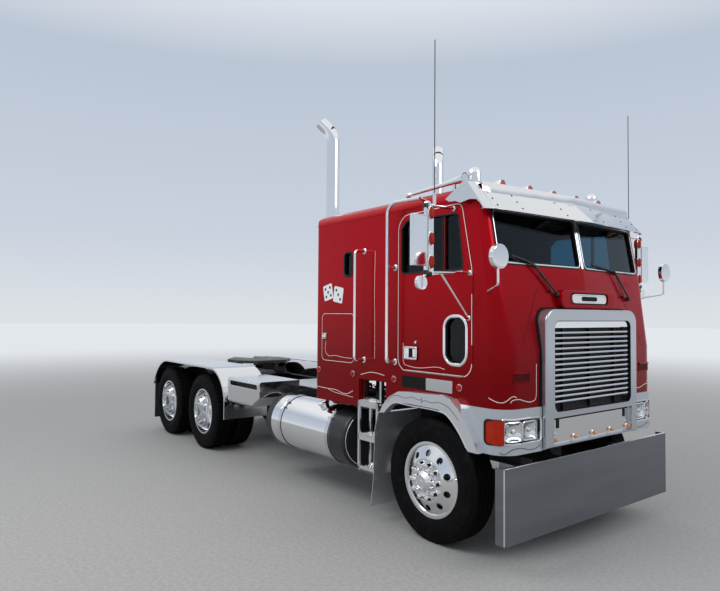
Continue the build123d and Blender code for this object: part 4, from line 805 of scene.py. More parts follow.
# Painted light: the flares carry the skirt's silver paint made lighter, standing in for the light they catch.
flare_paint = Finish("flare_silver_painted_lighter")
flare_silver_painted_lighter = flare_paint.surface(
    Base_Color=flaked(flare_paint, (0.60, 0.62, 0.65), (0.74, 0.76, 0.79)),
    Metallic=0.7,
    Roughness=flare_paint.noise(6, 3) * 0.1 + 0.17,
    Coat_Weight=0.6,
    Coat_Roughness=0.03,
)
dress(flare_silver_painted_lighter, "wheel_flares")

front_rows = (
    # height, x of the nose at the middle, sweep of the nose, radius of the front corners
    (0.800, -0.038, 0.035, 0.165), (1.660, -0.038, 0.035, 0.165), (2.320, -0.120, 0.068, 0.070),
    (3.058, -0.253, 0.068, 0.070),
)


def skin(y, z, proud=0.0):
    """A point on the cab's front, standing proud of the paint."""
    nose, sweep, radius = between_rows(front_rows, z)
    x = nose - sweep * min(abs(y), half_cab - radius)
    over = min(abs(y) - (half_cab - radius), radius)
    if over > 0:
        x -= radius - math.sqrt(radius ** 2 - over ** 2)
    return at(x + proud, y, z)


def skin_normal(point):
    """The direction straight out of the cab's front at a point on it."""
    y, z, step = point.y, point.z, 0.002
    across = skin(y + step, z) - skin(y - step, z)
    upwards = skin(y, z + step) - skin(y, z - step)
    return across.cross(upwards).normalized()


def rounded(corners, steps=6):
    """Points round a closed outline of (a, b, radius) corners."""
    points = []
    for n, (a, b, radius) in enumerate(corners):
        here, before, after = (Vector(corners[k % len(corners)][:2]) for k in (n, n - 1, n + 1))
        one, two = (before - here).normalized(), (after - here).normalized()
        if not radius:
            points.append(here)
            continue
        half = one.angle(two) / 2
        centre = here + (one + two).normalized() * (radius / math.sin(half))
        start = here + one * (radius / math.tan(half)) - centre
        end = here + two * (radius / math.tan(half)) - centre
        first = math.atan2(start.y, start.x)
        sweep = (math.atan2(end.y, end.x) - first + math.pi) % (2 * math.pi) - math.pi
        for k in range(steps + 1):
            angle = first + sweep * k / steps
            points.append(centre + Vector((math.cos(angle), math.sin(angle))) * radius)
    return points


def rectangle(low_a, high_a, low_b, high_b, radius, steps=6):
    """Points round a rectangle with rounded corners, of one radius or of four from the low corner on."""
    corners = ((low_a, low_b), (high_a, low_b), (high_a, high_b), (low_a, high_b))
    radii = radius if isinstance(radius, tuple) else (radius,) * 4
    return rounded([(a, b, r) for (a, b), r in zip(corners, radii)], steps)


def spread(points, longest):
    """The same closed outline with extra points, so that no run is longer than the given length."""
    filled = []
    for here, after in zip(points, points[1:] + points[:1]):
        count = max(1, math.ceil((after - here).length / longest))
        filled += [here.lerp(after, k / count) for k in range(count)]
    return filled


def on_side(points, sign, out=0.0):
    """Outline points (x, z) set on the flat side of the cab."""
    return beside(sign * (half_cab + out), points)


cap_rings, cap_half, cap_top, cap_under = [], 1.11, 3.0265, 3.0195


def behind_visor(y, share):
    """Whether the cab's front stands before the visor's face there."""
    point = visor_point(y, share)
    return point.x < skin(y, point.z).x


for n in range(-20, 21):
    y = n * cap_half / 20
    back = skin(y, 3.012)
    meeting = next(k / 50 for k in range(51) if behind_visor(y, k / 50))
    cap_rings.append([visor_hem.verts.new(point) for point in (
        visor_point(y, meeting - 0.04, 0.0015), skin(y, 3.008, 0.010), Vector((back.x - 0.004, y, cap_top)),
        Vector((back.x - 0.115, y, cap_top)), Vector((back.x - 0.115, y, cap_under)), skin(y, 3.004, 0.004),
        visor_point(y, meeting - 0.04, -0.002),
    )])
for one, two in zip(cap_rings, cap_rings[1:]):
    for k, corner in enumerate(one):
        visor_hem.faces.new((one[k - 1], two[k - 1], two[k], corner))
for ring in (cap_rings[0], cap_rings[-1]):
    visor_hem.faces.new(ring)
piece("visor_seams", "cab", mirror_stainless, visor_hem)

# Windscreens
# Two flat panes in black rubber with a bright filler strip, and a bright cap on the middle
# bar. Two arms carry the wiper blades, which are parked on the glass.
# The glass has a teal tint made deep enough to stand in for the teal reflections in the panes: part real
# tint, part painted reflection.
tint = Finish("tinted_glass_with_painted_reflection")
tinted_glass_with_painted_reflection = tint.surface(Base_Color=(0.11, 0.28, 0.37), Roughness=0.01, Transmission_Weight=1.0, IOR=1.28)
dress(tinted_glass_with_painted_reflection, "cab_glass", "door_glass_right", "door_glass_left")
pane = spread(rectangle(0.030, 1.048, 2.367, 2.798, 0.045), 0.12)
rubber_form, bright_form = bmesh.new(), bmesh.new()
for side, sign in sides:
    line = [skin(sign * y, z) for y, z in pane]
    moulding(rubber_form, line, skin_normal, bead(0.017, 0.006, 0.022), closed=True)
    filler_line = [p + skin_normal(p) * 0.0055 for p in line]
    moulding(bright_form, filler_line, skin_normal, bead(0.0055, 0.0018), closed=True)
cap_line = [skin(0, 2.36 + 0.0446 * k, 0.003) for k in range(11)]
moulding(bright_form, cap_line, skin_normal, bead(0.017, 0.006))
piece("windscreen_rubber", "cab", strip_rubber, rubber_form)
piece("windscreen_filler", "cab", chrome, bright_form)

wiper = Finish("wiper_black")
wiper_black = wiper.surface(Base_Color=(0.012, 0.012, 0.012), Roughness=wiper.noise(50, 2) * 0.2 + 0.35)


def rod_between(form, start, end, radius):
    """A round bar between two points."""
    length = (end - start).length
    lathe(form, [(0, 0), (radius, 0), (radius, length), (0, length)], start, end - start, 8)


wiper_rows = (
    # pivot, elbow, blade ends and the second rod's foot, as (y, z) on the cab's front
    ((-0.423, 2.124), (-0.668, 2.345), (-0.905, 2.425), (-0.600, 2.345), (-0.500, 2.150)),
    ((0.749, 2.112), (0.532, 2.367), (0.160, 2.405), (0.620, 2.345), (0.660, 2.130)),
)
pivot_cap = [(0.020, -0.030), (0.018, -0.004), (0.014, 0.008), (0, 0.012)]
blade_section = [(-0.004, -0.006), (-0.007, 0.009), (0.007, 0.009), (0.004, -0.006)]
bridge_rises = ((0.12, 0.008), (0.35, 0.020), (0.65, 0.020), (0.88, 0.008))
form = bmesh.new()
for pivot, elbow, tip, heel, foot in wiper_rows:
    pivot_at, elbow_at = skin(*pivot, 0.030), skin(*elbow, 0.030)
    lathe(form, pivot_cap, pivot_at, skin_normal(pivot_at), 20)
    foot_at = skin(*foot, 0.024)
    lathe(form, [(0.012, -0.026), (0.011, 0.004), (0, 0.006)], foot_at, skin_normal(foot_at), 16)
    arm = [pivot_at, pivot_at.lerp(elbow_at, 0.45), elbow_at]
    moulding(form, arm, skin_normal, bead(0.009, 0.010, 0.002))
    rod_between(form, foot_at, elbow_at, 0.0035)
    ends = [skin(*tip, 0.010), skin(*heel, 0.010)]
    blade = [ends[0].lerp(ends[1], k / 6) for k in range(7)]
    moulding(form, blade, skin_normal, blade_section)
    bridge = [ends[0].lerp(ends[1], share) + skin_normal(ends[0]) * rise for share, rise in bridge_rises]
    moulding(form, bridge, skin_normal, bead(0.006, 0.005, 0.001))
    rod_between(form, elbow_at, ends[0].lerp(ends[1], 0.5) + skin_normal(ends[0]) * 0.018, 0.007)
piece("wipers", "cab", wiper_black, form)

# Front corners, lamps and the silver skirt's trim
# The cab's front corners are rolled, so trim round them is laid out on the developed sheet.
# Each headlamp has two pressed reflectors with fluted lenses in one chromed bezel.
def wrap(developed, z, sign, proud=0.0):
    """A point at a developed distance from the cab's middle, round the corner and along the side."""
    nose, sweep, radius = between_rows(front_rows, z)
    flat, arc = half_cab - radius, radius * math.pi / 2
    turn = min(max((developed - flat) / radius, 0), math.pi / 2)
    y = min(developed, flat) + radius * math.sin(turn)
    x = nose - sweep * min(y, flat) - radius * (1 - math.cos(turn)) - max(developed - flat - arc, 0)
    out = Vector((math.cos(turn), sign * math.sin(turn), 0))
    return at(x, sign * y, z) + out * proud


def trim(form, points, sign, proud, section, closed=False):
    """A moulding laid on the developed sheet, square to it at each point."""
    line = [wrap(s, z, sign, proud) for s, z in points]
    outs = [(wrap(s, z, sign, 0.01) - wrap(s, z, sign)).normalized() for s, z in points]
    moulding(form, line, outs, section, closed)


def flowing(points, steps=6):
    """A smooth line through 2-D points."""
    spots = [Vector(p) for p in points]
    ends = [spots[0] * 2 - spots[1]] + spots + [spots[-1] * 2 - spots[-2]]
    line = []
    for n in range(1, len(spots)):
        a, b, c, d = ends[n - 1:n + 3]
        for k in range(steps):
            t = k / steps
            line.append(0.5 * (2 * b + (c - a) * t + (2 * a - 5 * b + 4 * c - d) * t ** 2
                               + (3 * b - a - 3 * c + d) * t ** 3))
    return line + [spots[-1]]


def lens(form, centre, out, across, half_a, half_b, height, power=2.0, segments=28):
    """A domed lens or button with a round or squarish outline."""
    out, across = Vector(out).normalized(), Vector(across).normalized()
    other = out.cross(across)
    rings = []
    foot = -0.002 / max(height, 0.001)
    for share, rise in ((1.0, foot), (1.0, 0.25), (0.93, 0.62), (0.78, 0.84), (0.5, 0.96)):
        ring = []
        for n in range(segments):
            angle = 2 * math.pi * n / segments
            a = math.copysign(abs(math.cos(angle)) ** (2 / power), math.cos(angle)) * half_a * share
            b = math.copysign(abs(math.sin(angle)) ** (2 / power), math.sin(angle)) * half_b * share
            ring.append(form.verts.new(Vector(centre) + across * a + other * b + out * height * rise))
        rings.append(ring)
    skinned(form, rings)
    top = form.verts.new(Vector(centre) + out * height)
    for n in range(segments):
        form.faces.new((rings[-1][n], rings[-1][(n + 1) % segments], top))


def plate(form, points, out, thickness, edge=0.0015, sink=0.001):
    """A thin plate with a bevelled edge from its outline on a flat surface."""
    out = Vector(out)
    middle = sum(points, Vector()) / len(points)
    rings = []
    for inset, rise in ((0, -sink), (0, thickness - edge), (edge, thickness)):
        rings.append([form.verts.new(p + (middle - p).normalized() * inset + out * rise) for p in points])
    skinned(form, rings)
    form.faces.new(rings[-1])
    form.faces.new(rings[0])


clear = Finish("clear_lens")
flutes = clear.ripple("Y", 0.012)
clear_lens = clear.surface(
    Base_Color=(0.95, 0.96, 0.97), Roughness=0.02, Transmission_Weight=1.0, IOR=1.3,
    Normal=clear.bump(flutes, 0.0012),
)
amber = Finish("amber_lens")
prisms = amber.ripple("Z", 0.007) * 0.6 + amber.ripple("X", 0.011) * 0.4
amber_lens = amber.surface(
    Base_Color=amber.mottle((0.32, 0.009, 0.001), (0.44, 0.022, 0.002), 30, 2),
    Roughness=0.15, Specular_IOR_Level=0.1, Coat_Weight=0.2, Normal=amber.bump(prisms, 0.0012),
)
dress(amber_lens, "marker_lamps")
bowl = Finish("lamp_reflector")
lamp_reflector = bowl.surface(
    Base_Color=(0.86, 0.87, 0.88), Metallic=1.0, Roughness=bowl.noise(25, 2).part(0.4, 0.8) * 0.05 + 0.05
)
# Near black, used as painted shade on many parts, and for the dice's printed pips.
gloom = Finish("shade_and_print_black")
shade_and_print_black = gloom.surface(
    Base_Color=gloom.mottle((0.003, 0.003, 0.003), (0.009, 0.009, 0.009), 20, 2),
    Roughness=0.6, Specular_IOR_Level=0.15,
)

headlamp_span, headlamp_z = (0.712, 1.113), (0.952, 1.142)
turn_lamp_span, turn_lamp_z = (1.121, 1.255), (0.948, 1.136)
bowls = ((0.850, 0.081), (1.022, 0.081))
bowl_z, bowl_half_z = 1.046, 0.070
bezel_section = [
    (-0.009, -0.036), (-0.009, 0.003), (-0.004, 0.008), (0.004, 0.008), (0.009, 0.0), (0.009, -0.036),
]
bowl_section = [(-0.006, -0.008), (-0.006, 0.003), (0, 0.006), (0.006, 0.003), (0.006, -0.008)]
side_lamp_x, side_lamp_z = (-2.587, -1.976, -1.348, -0.532), 1.352
side_lamp_rim = [(0.0245, -0.001), (0.0245, 0.007), (0.029, 0.006), (0.031, -0.001)]


def bowl_steps(count):
    """Places from -1 to 1, closer together towards the ends."""
    return [math.sin((2 * k / count - 1) * math.pi / 2) for k in range(count + 1)]


for side, sign in sides:
    form = bmesh.new()
    outline = rectangle(*headlamp_span, *headlamp_z, (0.035, 0.006, 0.006, 0.035))
    trim(form, spread(outline, 0.04), sign, 0.010, bezel_section, closed=True)
    for middle, half in bowls:
        ring = rectangle(middle - half, middle + half, bowl_z - bowl_half_z, bowl_z + bowl_half_z, 0.026)
        trim(form, ring, sign, 0.004, bowl_section, closed=True)
    made = piece(f"headlamp_bezel_{side}", "cab", chrome, form)
    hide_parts("headlamps")
    # The box behind the bowls is in the chrome painted dark, a painted dark reflection inside the lamp.
    form = bmesh.new()
    near, wide = headlamp_span[0], headlamp_span[1] - headlamp_span[0]
    rows = []
    for b in range(5):
        z = headlamp_z[0] + 0.19 * b / 4
        rows.append([form.verts.new(wrap(near + wide * a / 16, z, sign, -0.018)) for a in range(17)])
    skinned(form, rows, open_rows=True)
    piece(f"headlamp_box_{side}", "cab", chrome_with_painted_dark_reflection, form)
    form, glass_form = bmesh.new(), bmesh.new()
    for middle, half in bowls:
        for target, base, swell in ((form, 0.0045, -0.020), (glass_form, 0.0055, 0.006)):
            rows = []
            for v in bowl_steps(10):
                row = []
                for u in bowl_steps(14):
                    hollow = max(0.0, (1 - u ** 2)) ** 0.7 * max(0.0, (1 - v ** 2)) ** 0.7
                    point = wrap(middle + half * u, bowl_z + bowl_half_z * v, sign, base + swell * hollow)
                    row.append(target.verts.new(point))
                rows.append(row)
            skinned(target, rows, open_rows=True)
        centre = wrap(middle, bowl_z, sign, -0.012)
        ahead = wrap(middle, bowl_z, sign, 0.01) - wrap(middle, bowl_z, sign)
        lathe(form, [(0.019, 0), (0.019, 0.006), (0.015, 0.012), (0, 0.015)], centre, ahead, 16)
    piece(f"headlamp_bowls_{side}", "cab", lamp_reflector, form)
    piece(f"headlamp_lenses_{side}", "cab", clear_lens, glass_form)
    form = bmesh.new()
    outline = rectangle(*turn_lamp_span, *turn_lamp_z, (0.004, 0.035, 0.035, 0.004))
    trim(form, spread(outline, 0.03), sign, 0.015, bead(0.006, 0.006, 0.02), closed=True)
    piece(f"turn_lamp_seal_{side}", "cab", strip_rubber, form)
    form, glass_form = bmesh.new(), bmesh.new()
    for x in side_lamp_x:
        lathe(form, side_lamp_rim, at(x, sign * half_cab, side_lamp_z), (0, sign, 0), 28, closed=True)
        middle = at(x, sign * (half_cab + 0.0135), side_lamp_z)
        lens(glass_form, middle, (0, sign, 0), (1, 0, 0), 0.0235, 0.0235, 0.009)
    piece(f"side_lamp_bezels_{side}", "cab", chrome, form)
    piece(f"side_lamp_lenses_{side}", "cab", amber_lens, glass_form)

# Grille
# A one-piece silver surround with polished bars across it and a bright head plate, on ribs
# painted black as shade, before a dark mesh sheet that stands in for the shade behind the bars.
# A mirror plate closes the lower window, with amber bullets along it.
opening_half, opening_z = 0.5885, (1.167, 1.903)
shell_finish = Finish("grille_finish")
spot = shell_finish.place()
ahead, across, upward = spot.axis("X") - bumper_x, abs(spot.axis("Y")), spot.axis("Z")
inside = (ahead < -0.030) * (across < opening_half) * (upward > opening_z[0]) * (upward < opening_z[1])
rib_near = (across < 0.006) + (across > 0.394) * (across < 0.406)
# Painted shade: the ribs behind the bars are coloured near black, standing in for the shade between the bars.
rib_shade_mask = (ahead < -0.0575) * rib_near * (upward < 1.843)
paint = flaked(shell_finish, (0.43, 0.46, 0.50), (0.54, 0.57, 0.61))
bright = shell_finish.mix(inside, paint, (0.84, 0.85, 0.86))
grille_finish = shell_finish.surface(
    Base_Color=shell_finish.mix(rib_shade_mask, bright, (0.008, 0.008, 0.009)),
    Metallic=(inside * 0.2 + 0.8) * (1 - rib_shade_mask),
    Roughness=inside * -0.18 + 0.23 + rib_shade_mask * 0.4,
    Coat_Weight=(1 - inside) * 0.7,
    Coat_Roughness=0.05,
)
dress(grille_finish, "grille")


def facing(x, outline):
    """Outline points (y, z) set square to the road ahead."""
    return [at(x, y, z) for y, z in outline]


# Painted shade: a near-black woven sheet behind the bars stands in for the shade inside the grille; its gaps
# are painted darker than its wires.
form = bmesh.new()
screen = ((-0.60, 1.155), (0.60, 1.155), (0.60, 1.915), (-0.60, 1.915))
plate(form, facing(-0.088, screen), (1, 0, 0), 0.001, 0.0003, 0.001)
shade_mesh_black = Finish("grille_shade_mesh")
weave = shade_mesh_black.ripple("Y", 0.009) * shade_mesh_black.ripple("Z", 0.009)
piece("grille_shade_screen", "cab", shade_mesh_black.surface(
    Base_Color=shade_mesh_black.mix(weave.part(0.1, 0.5), (0.002, 0.002, 0.002), (0.013, 0.013, 0.014)),
    Roughness=0.65, Normal=shade_mesh_black.bump(weave, 0.002),
), form)
# Painted shadow: a black lining on the opening's inner walls and a black bead round the surround stand in for
# the shade and the shadow gap there.
form = bmesh.new()
outline = facing(-0.0105, spread(rectangle(-0.588, 0.588, 1.167, 1.903, 0.058), 0.2))
lining_section = [(-0.004, -0.03), (-0.004, 0.0), (0.001, 0.001), (0.001, -0.03)]
moulding(form, outline, (1, 0, 0), lining_section, closed=True)
seal = rounded(((-0.706, 0.88, 0), (-0.706, 2.006, 0.120), (0.706, 2.006, 0.120), (0.706, 0.88, 0)), 8)
line = [skin(y, z) for y, z in spread(seal, 0.1) if z > 0.881]
moulding(form, line, skin_normal, bead(0.009, 0.012, 0.01))
piece("grille_shadow_seals", "cab", shade_and_print_black, form)
bars_form = bmesh.new()
bar_count, bar_half, bar_low_z, bar_pitch = 14, 0.589, 1.246, 0.043
bar_section = [
    (-0.0065, -0.030), (-0.0092, -0.004), (-0.0075, 0.003), (0, 0.006), (0.0075, 0.003), (0.0092, -0.004),
    (0.0065, -0.030),
]
for n in range(bar_count):
    line = [at(-0.0260, y / 6 * bar_half, bar_low_z + bar_pitch * n) for y in range(-6, 7)]
    moulding(bars_form, line, (1, 0, 0), bar_section)
head = rectangle(-0.586, 0.586, 1.850, 1.900, (0.004, 0.004, 0.045, 0.045))
plate(bars_form, facing(-0.030, head), (1, 0, 0), 0.006, 0.003, 0.03)
piece("grille_bar_faces", "cab", chrome, bars_form)
form, bullet_form = bmesh.new(), bmesh.new()
window = facing(-0.046, rectangle(-0.597, 0.597, 0.908, 1.117, 0.012))
plate(form, window, (1, 0, 0), 0.006, 0.004, 0.024)
moulding(form, [p + Vector((0.006, 0, 0)) for p in window], (1, 0, 0), bead(0.005, 0.003), closed=True)
for y in (-0.545, 0.545):
    bolt(form, at(-0.040, y, 0.985), (1, 0, 0), 0.010, 0.008)
bullet_pitch, bullet_z = 0.280, 0.940
bullet_rim = [(0.024, 0), (0.024, 0.004), (0.020, 0.006), (0.0175, 0.008)]
bullet = [(0.0175, 0.0), (0.0178, 0.006), (0.0160, 0.016), (0.0110, 0.025), (0.005, 0.030), (0, 0.031)]
for n in range(-2, 3):
    lathe(form, bullet_rim, at(-0.040, n * bullet_pitch, bullet_z), (1, 0, 0), 20)
    lathe(bullet_form, bullet, at(-0.033, n * bullet_pitch, bullet_z), (1, 0, 0), 20)
piece("lower_mirror_plate", "cab", mirror_stainless, form)
# Painted shade: black plates in the two slots and a black bead along the gap above the plate stand in for the
# shade in them.
form = bmesh.new()
for y in (-0.512, 0.512):
    slot_line = ((y - 0.024, 1.028), (y + 0.024, 1.028), (y + 0.024, 1.104), (y - 0.024, 1.104))
    plate(form, facing(-0.0405, slot_line), (1, 0, 0), 0.001, 0.0003)
upper_gap_shade = ((-0.580, 1.1065), (0.0, 1.1065), (0.580, 1.1065))
moulding(form, facing(-0.0390, upper_gap_shade), (1, 0, 0), bead(0.007, 0.004))
piece("lower_plate_slot_shade", "cab", shade_and_print_black, form)
yellow = Finish("yellow_lens")
yellow_lens = yellow.surface(
    Base_Color=yellow.mottle((0.72, 0.20, 0.015), (0.85, 0.32, 0.03), 40, 2), Roughness=0.15, Coat_Weight=0.5
)
piece("bullet_lamps", "cab", yellow_lens, bullet_form)

# Front panel fittings
# A pale insert in a bright rim fills the pod's recess, and each side has a pressed hand hold
# and a slanting row of rivets where the corner panel laps the front.
insert = Finish("insert_enamel")
insert_enamel = insert.surface(
    Base_Color=insert.mottle((0.70, 0.72, 0.74), (0.78, 0.79, 0.80), 6, 3), Roughness=0.25, Coat_Weight=0.6
)
form, rim_form, dark_form = bmesh.new(), bmesh.new(), bmesh.new()
insert_line = rectangle(-0.255, 0.255, 2.058, 2.128, 0.030)
plate(form, facing(-0.064, insert_line), (1, 0, 0), 0.002)
moulding(rim_form, facing(-0.0625, insert_line), (1, 0, 0), bead(0.006, 0.006), closed=True)
# In shadow black: a dark ring round the recess's edge, which is painted shade, and a dark plate in the
# insert's middle.
plate(dark_form, facing(-0.062, rectangle(-0.120, 0.120, 2.074, 2.112, 0.018)), (1, 0, 0), 0.002)
rim = facing(-0.060, rectangle(-0.290, 0.290, 2.048, 2.138, 0.030))
moulding(dark_form, rim, (1, 0, 0), bead(0.006, 0.004, 0.004), closed=True)
piece("pod_insert", "cab", insert_enamel, form)
piece("pod_rim", "cab", chrome, rim_form)
piece("pod_field", "cab", shade_and_print_black, dark_form)
rivet_form, hold_form, hold_dark = bmesh.new(), bmesh.new(), bmesh.new()
for side, sign in sides:
    for k in range(19):
        share = k / 18
        point = skin(sign * (0.650 + 0.246 * share), 2.155 - 0.426 * share)
        dome(rivet_form, point, skin_normal(point), 0.0062, 0.003)
    for k in range(7):
        point = skin(sign * (0.50 + 0.1 * k), 2.262)
        dome(rivet_form, point, skin_normal(point), 0.0055, 0.0025)
    hold = spread(rectangle(0.842, 1.030, 1.425, 1.500, 0.010), 0.04)
    trim(hold_form, hold, sign, 0.0, bead(0.006, 0.007), closed=True)
    for target, low_z, high_z, rows in (
        (hold_form, 1.428, 0.068, ((0.85, 0.012), (1.0, 0.016), (1.08, 0.008), (1.16, 0.0))),
        (hold_dark, 1.429, 0.055, ((0, 0.0012), (1, 0.0012))),
    ):
        skinned(target, [
            [target.verts.new(wrap(0.846 + 0.18 * a / 8, low_z + high_z * b, sign, rise)) for a in range(9)]
            for b, rise in rows
        ], open_rows=True)
# The rivet heads are painted shadow black, painted shade standing in for the dark dots they show.
piece("front_rivets", "cab", shade_and_print_black, rivet_form)
piece("hand_holds", "cab", candy_red, hold_form)
deep_red = Finish("red_in_shade")
red_in_shade = deep_red.surface(
    Base_Color=deep_red.mottle((0.05, 0.001, 0.002), (0.08, 0.002, 0.003), 40, 2),
    Roughness=0.5, Specular_IOR_Level=0.1,
)
piece("hand_hold_backs", "cab", red_in_shade, hold_dark)

# Painted lines
# Hand-laid cream lines on the red and a dark one on the silver skirt, and two dice by the
# sleeper's window, all in sign painter's enamel. The cream lines just inside the door's and the
# locker's edges, and the broad one along the door's foot, are painted highlights on those edges.
cream = Finish("cream_lines_and_highlights")
cream_lines_and_highlights = cream.surface(
    Base_Color=cream.mottle((0.74, 0.62, 0.56), (0.82, 0.72, 0.66), 30, 2), Roughness=0.3
)
dark_line = Finish("dark_enamel")
dark_enamel = dark_line.surface(
    Base_Color=dark_line.mottle((0.03, 0.04, 0.09), (0.05, 0.06, 0.12), 30, 2), Roughness=0.3
)
line_height = 0.0006


def stripe_section(half_width, sink=0.0003):
    return [(-half_width, -sink), (-half_width, line_height), (half_width, line_height), (half_width, -sink)]


side_lines = (
    # points (x, z) and half width
    (
        (
            (-2.629, 1.166), (-2.452, 1.160), (-2.273, 1.161), (-2.157, 1.139), (-2.064, 1.143),
            (-1.973, 1.180),
        ), 0.0028,
    ),
    (((-2.45, 1.166), (-2.30, 1.135), (-2.15, 1.125), (-1.972, 1.115)), 0.0022),
    (((-1.851, 1.353), (-1.697, 1.386), (-1.581, 1.385), (-1.485, 1.372)), 0.0028),
    (((-1.633, 1.520), (-1.633, 1.797), (-1.640, 2.180), (-1.633, 2.560)), 0.0022),
)
front_lines = (
    (
        (1.227, 1.303), (1.169, 1.279), (1.123, 1.271), (1.092, 1.280), (1.068, 1.296), (1.044, 1.314),
        (1.020, 1.319), (0.995, 1.309),
    ),
    (
        (1.052, 1.270), (1.030, 1.290), (0.968, 1.294), (0.899, 1.276), (0.840, 1.265), (0.784, 1.274),
        (0.763, 1.302), (0.758, 1.367), (0.758, 1.433), (0.757, 1.560),
    ),
)
skirt_line = (
    (1.136, 0.892), (1.103, 0.879), (1.062, 0.905), (1.030, 0.918), (0.959, 0.920), (0.861, 0.898),
    (0.780, 0.901), (0.729, 0.925),
)
door_corners = (
    (-1.300, 1.433, 0.120), (-0.393, 1.433, 0.120), (-0.393, 2.324, 0.060), (-0.505, 2.876, 0.070),
    (-1.300, 2.858, 0.150),
)
door_outline = rounded(door_corners, 8)
locker_outline = rectangle(-2.540, -1.960, 1.450, 1.960, 0.060, 8)
door_inner = (
    (-1.222, 1.690), (-1.218, 1.521), (-1.153, 1.487), (-1.011, 1.478), (-0.80, 1.500), (-0.70, 1.488)
)
locker_inner = (
    (-2.46, 1.661), (-2.468, 1.557), (-2.407, 1.508), (-2.278, 1.516), (-2.162, 1.505), (-1.995, 1.502),
)
dice_rows = (
    # middle (x, z), tilt in degrees, places of the pips
    ((-2.425, 2.180), 12, ((-0.5, -0.5), (0.5, 0.5), (0, 0), (-0.5, 0.5), (0.5, -0.5))),
    ((-2.240, 2.150), -10, ((-0.5, 0.5), (0, 0), (0.5, -0.5))),
)
dice_half, pip_radius = 0.082, 0.015


def inset_outline(points, distance):
    """A closed outline moved inwards by a distance."""
    area = sum(a.x * b.y - b.x * a.y for a, b in zip(points, points[1:] + points[:1]))
    turn, moved = math.copysign(1, area), []
    for before, here, after in zip(points[-1:] + points[:-1], points, points[1:] + points[:1]):
        along = (after - before).normalized()
        moved.append(here + Vector((-along.y, along.x)) * distance * turn)
    return moved


for side, sign in sides:
    out = (0, sign, 0)
    form, dark_form = bmesh.new(), bmesh.new()
    for points, width in side_lines:
        moulding(form, on_side(flowing(points), sign), out, stripe_section(width))
    for points in front_lines:
        trim(form, flowing(points), sign, 0.0008, stripe_section(0.0028, 0.005))
    trim(dark_form, flowing(skirt_line), sign, 0.0148, stripe_section(0.0028, 0.005))
    piece(f"cab_lines_{side}", "cab", cream_lines_and_highlights, form)
    piece(f"skirt_line_{side}", "cab", dark_enamel, dark_form)
    form, locker_form = bmesh.new(), bmesh.new()
    for target, outline, inner, width in (
        (form, door_outline, door_inner, 0.0035), (locker_form, locker_outline, locker_inner, 0.0026),
    ):
        # The line just inside each outline is a painted highlight on the door's or the locker's edge; the
        # flowing line within it is a pinstripe.
        moulding(
            target, on_side(inset_outline(outline, 0.007), sign), out, stripe_section(width), closed=True
        )
        moulding(target, on_side(flowing(inner), sign), out, stripe_section(0.0022))
    # Painted highlight: a broad cream band along the door's foot, where its edge trim catches the light.
    door_foot_highlight = [(-1.20 + 0.08 * k, 1.444) for k in range(10)]
    moulding(form, on_side(door_foot_highlight, sign), out, stripe_section(0.006))
    piece(f"door_lines_and_highlights_{side}", f"door_{side}", cream_lines_and_highlights, form)
    piece(f"locker_lines_and_highlights_{side}", f"locker_door_{side}", cream_lines_and_highlights, locker_form)
    dice, pips = bmesh.new(), bmesh.new()
    for middle, tilt, places in dice_rows:
        turned = Matrix.Rotation(math.radians(tilt), 2)
        square = rectangle(-dice_half, dice_half, -dice_half, dice_half, 0.018)
        square = [Vector(middle) + turned @ p for p in square]
        plate(dice, on_side(square, sign), out, 0.0006, 0.0002, 0.0003)
        for place in places:
            spot = Vector(middle) + turned @ Vector(place) * 0.085
            angles = [k * math.pi / 7 for k in range(14)]
            circle = [spot + Vector((math.cos(angle), math.sin(angle))) * pip_radius for angle in angles]
            plate(pips, on_side(circle, sign, 0.0006), out, 0.0004, 0.0001, 0.0002)
    piece(f"dice_{side}", "cab", insert_enamel, dice)
    piece(f"dice_pips_{side}", "cab", shade_and_print_black, pips)

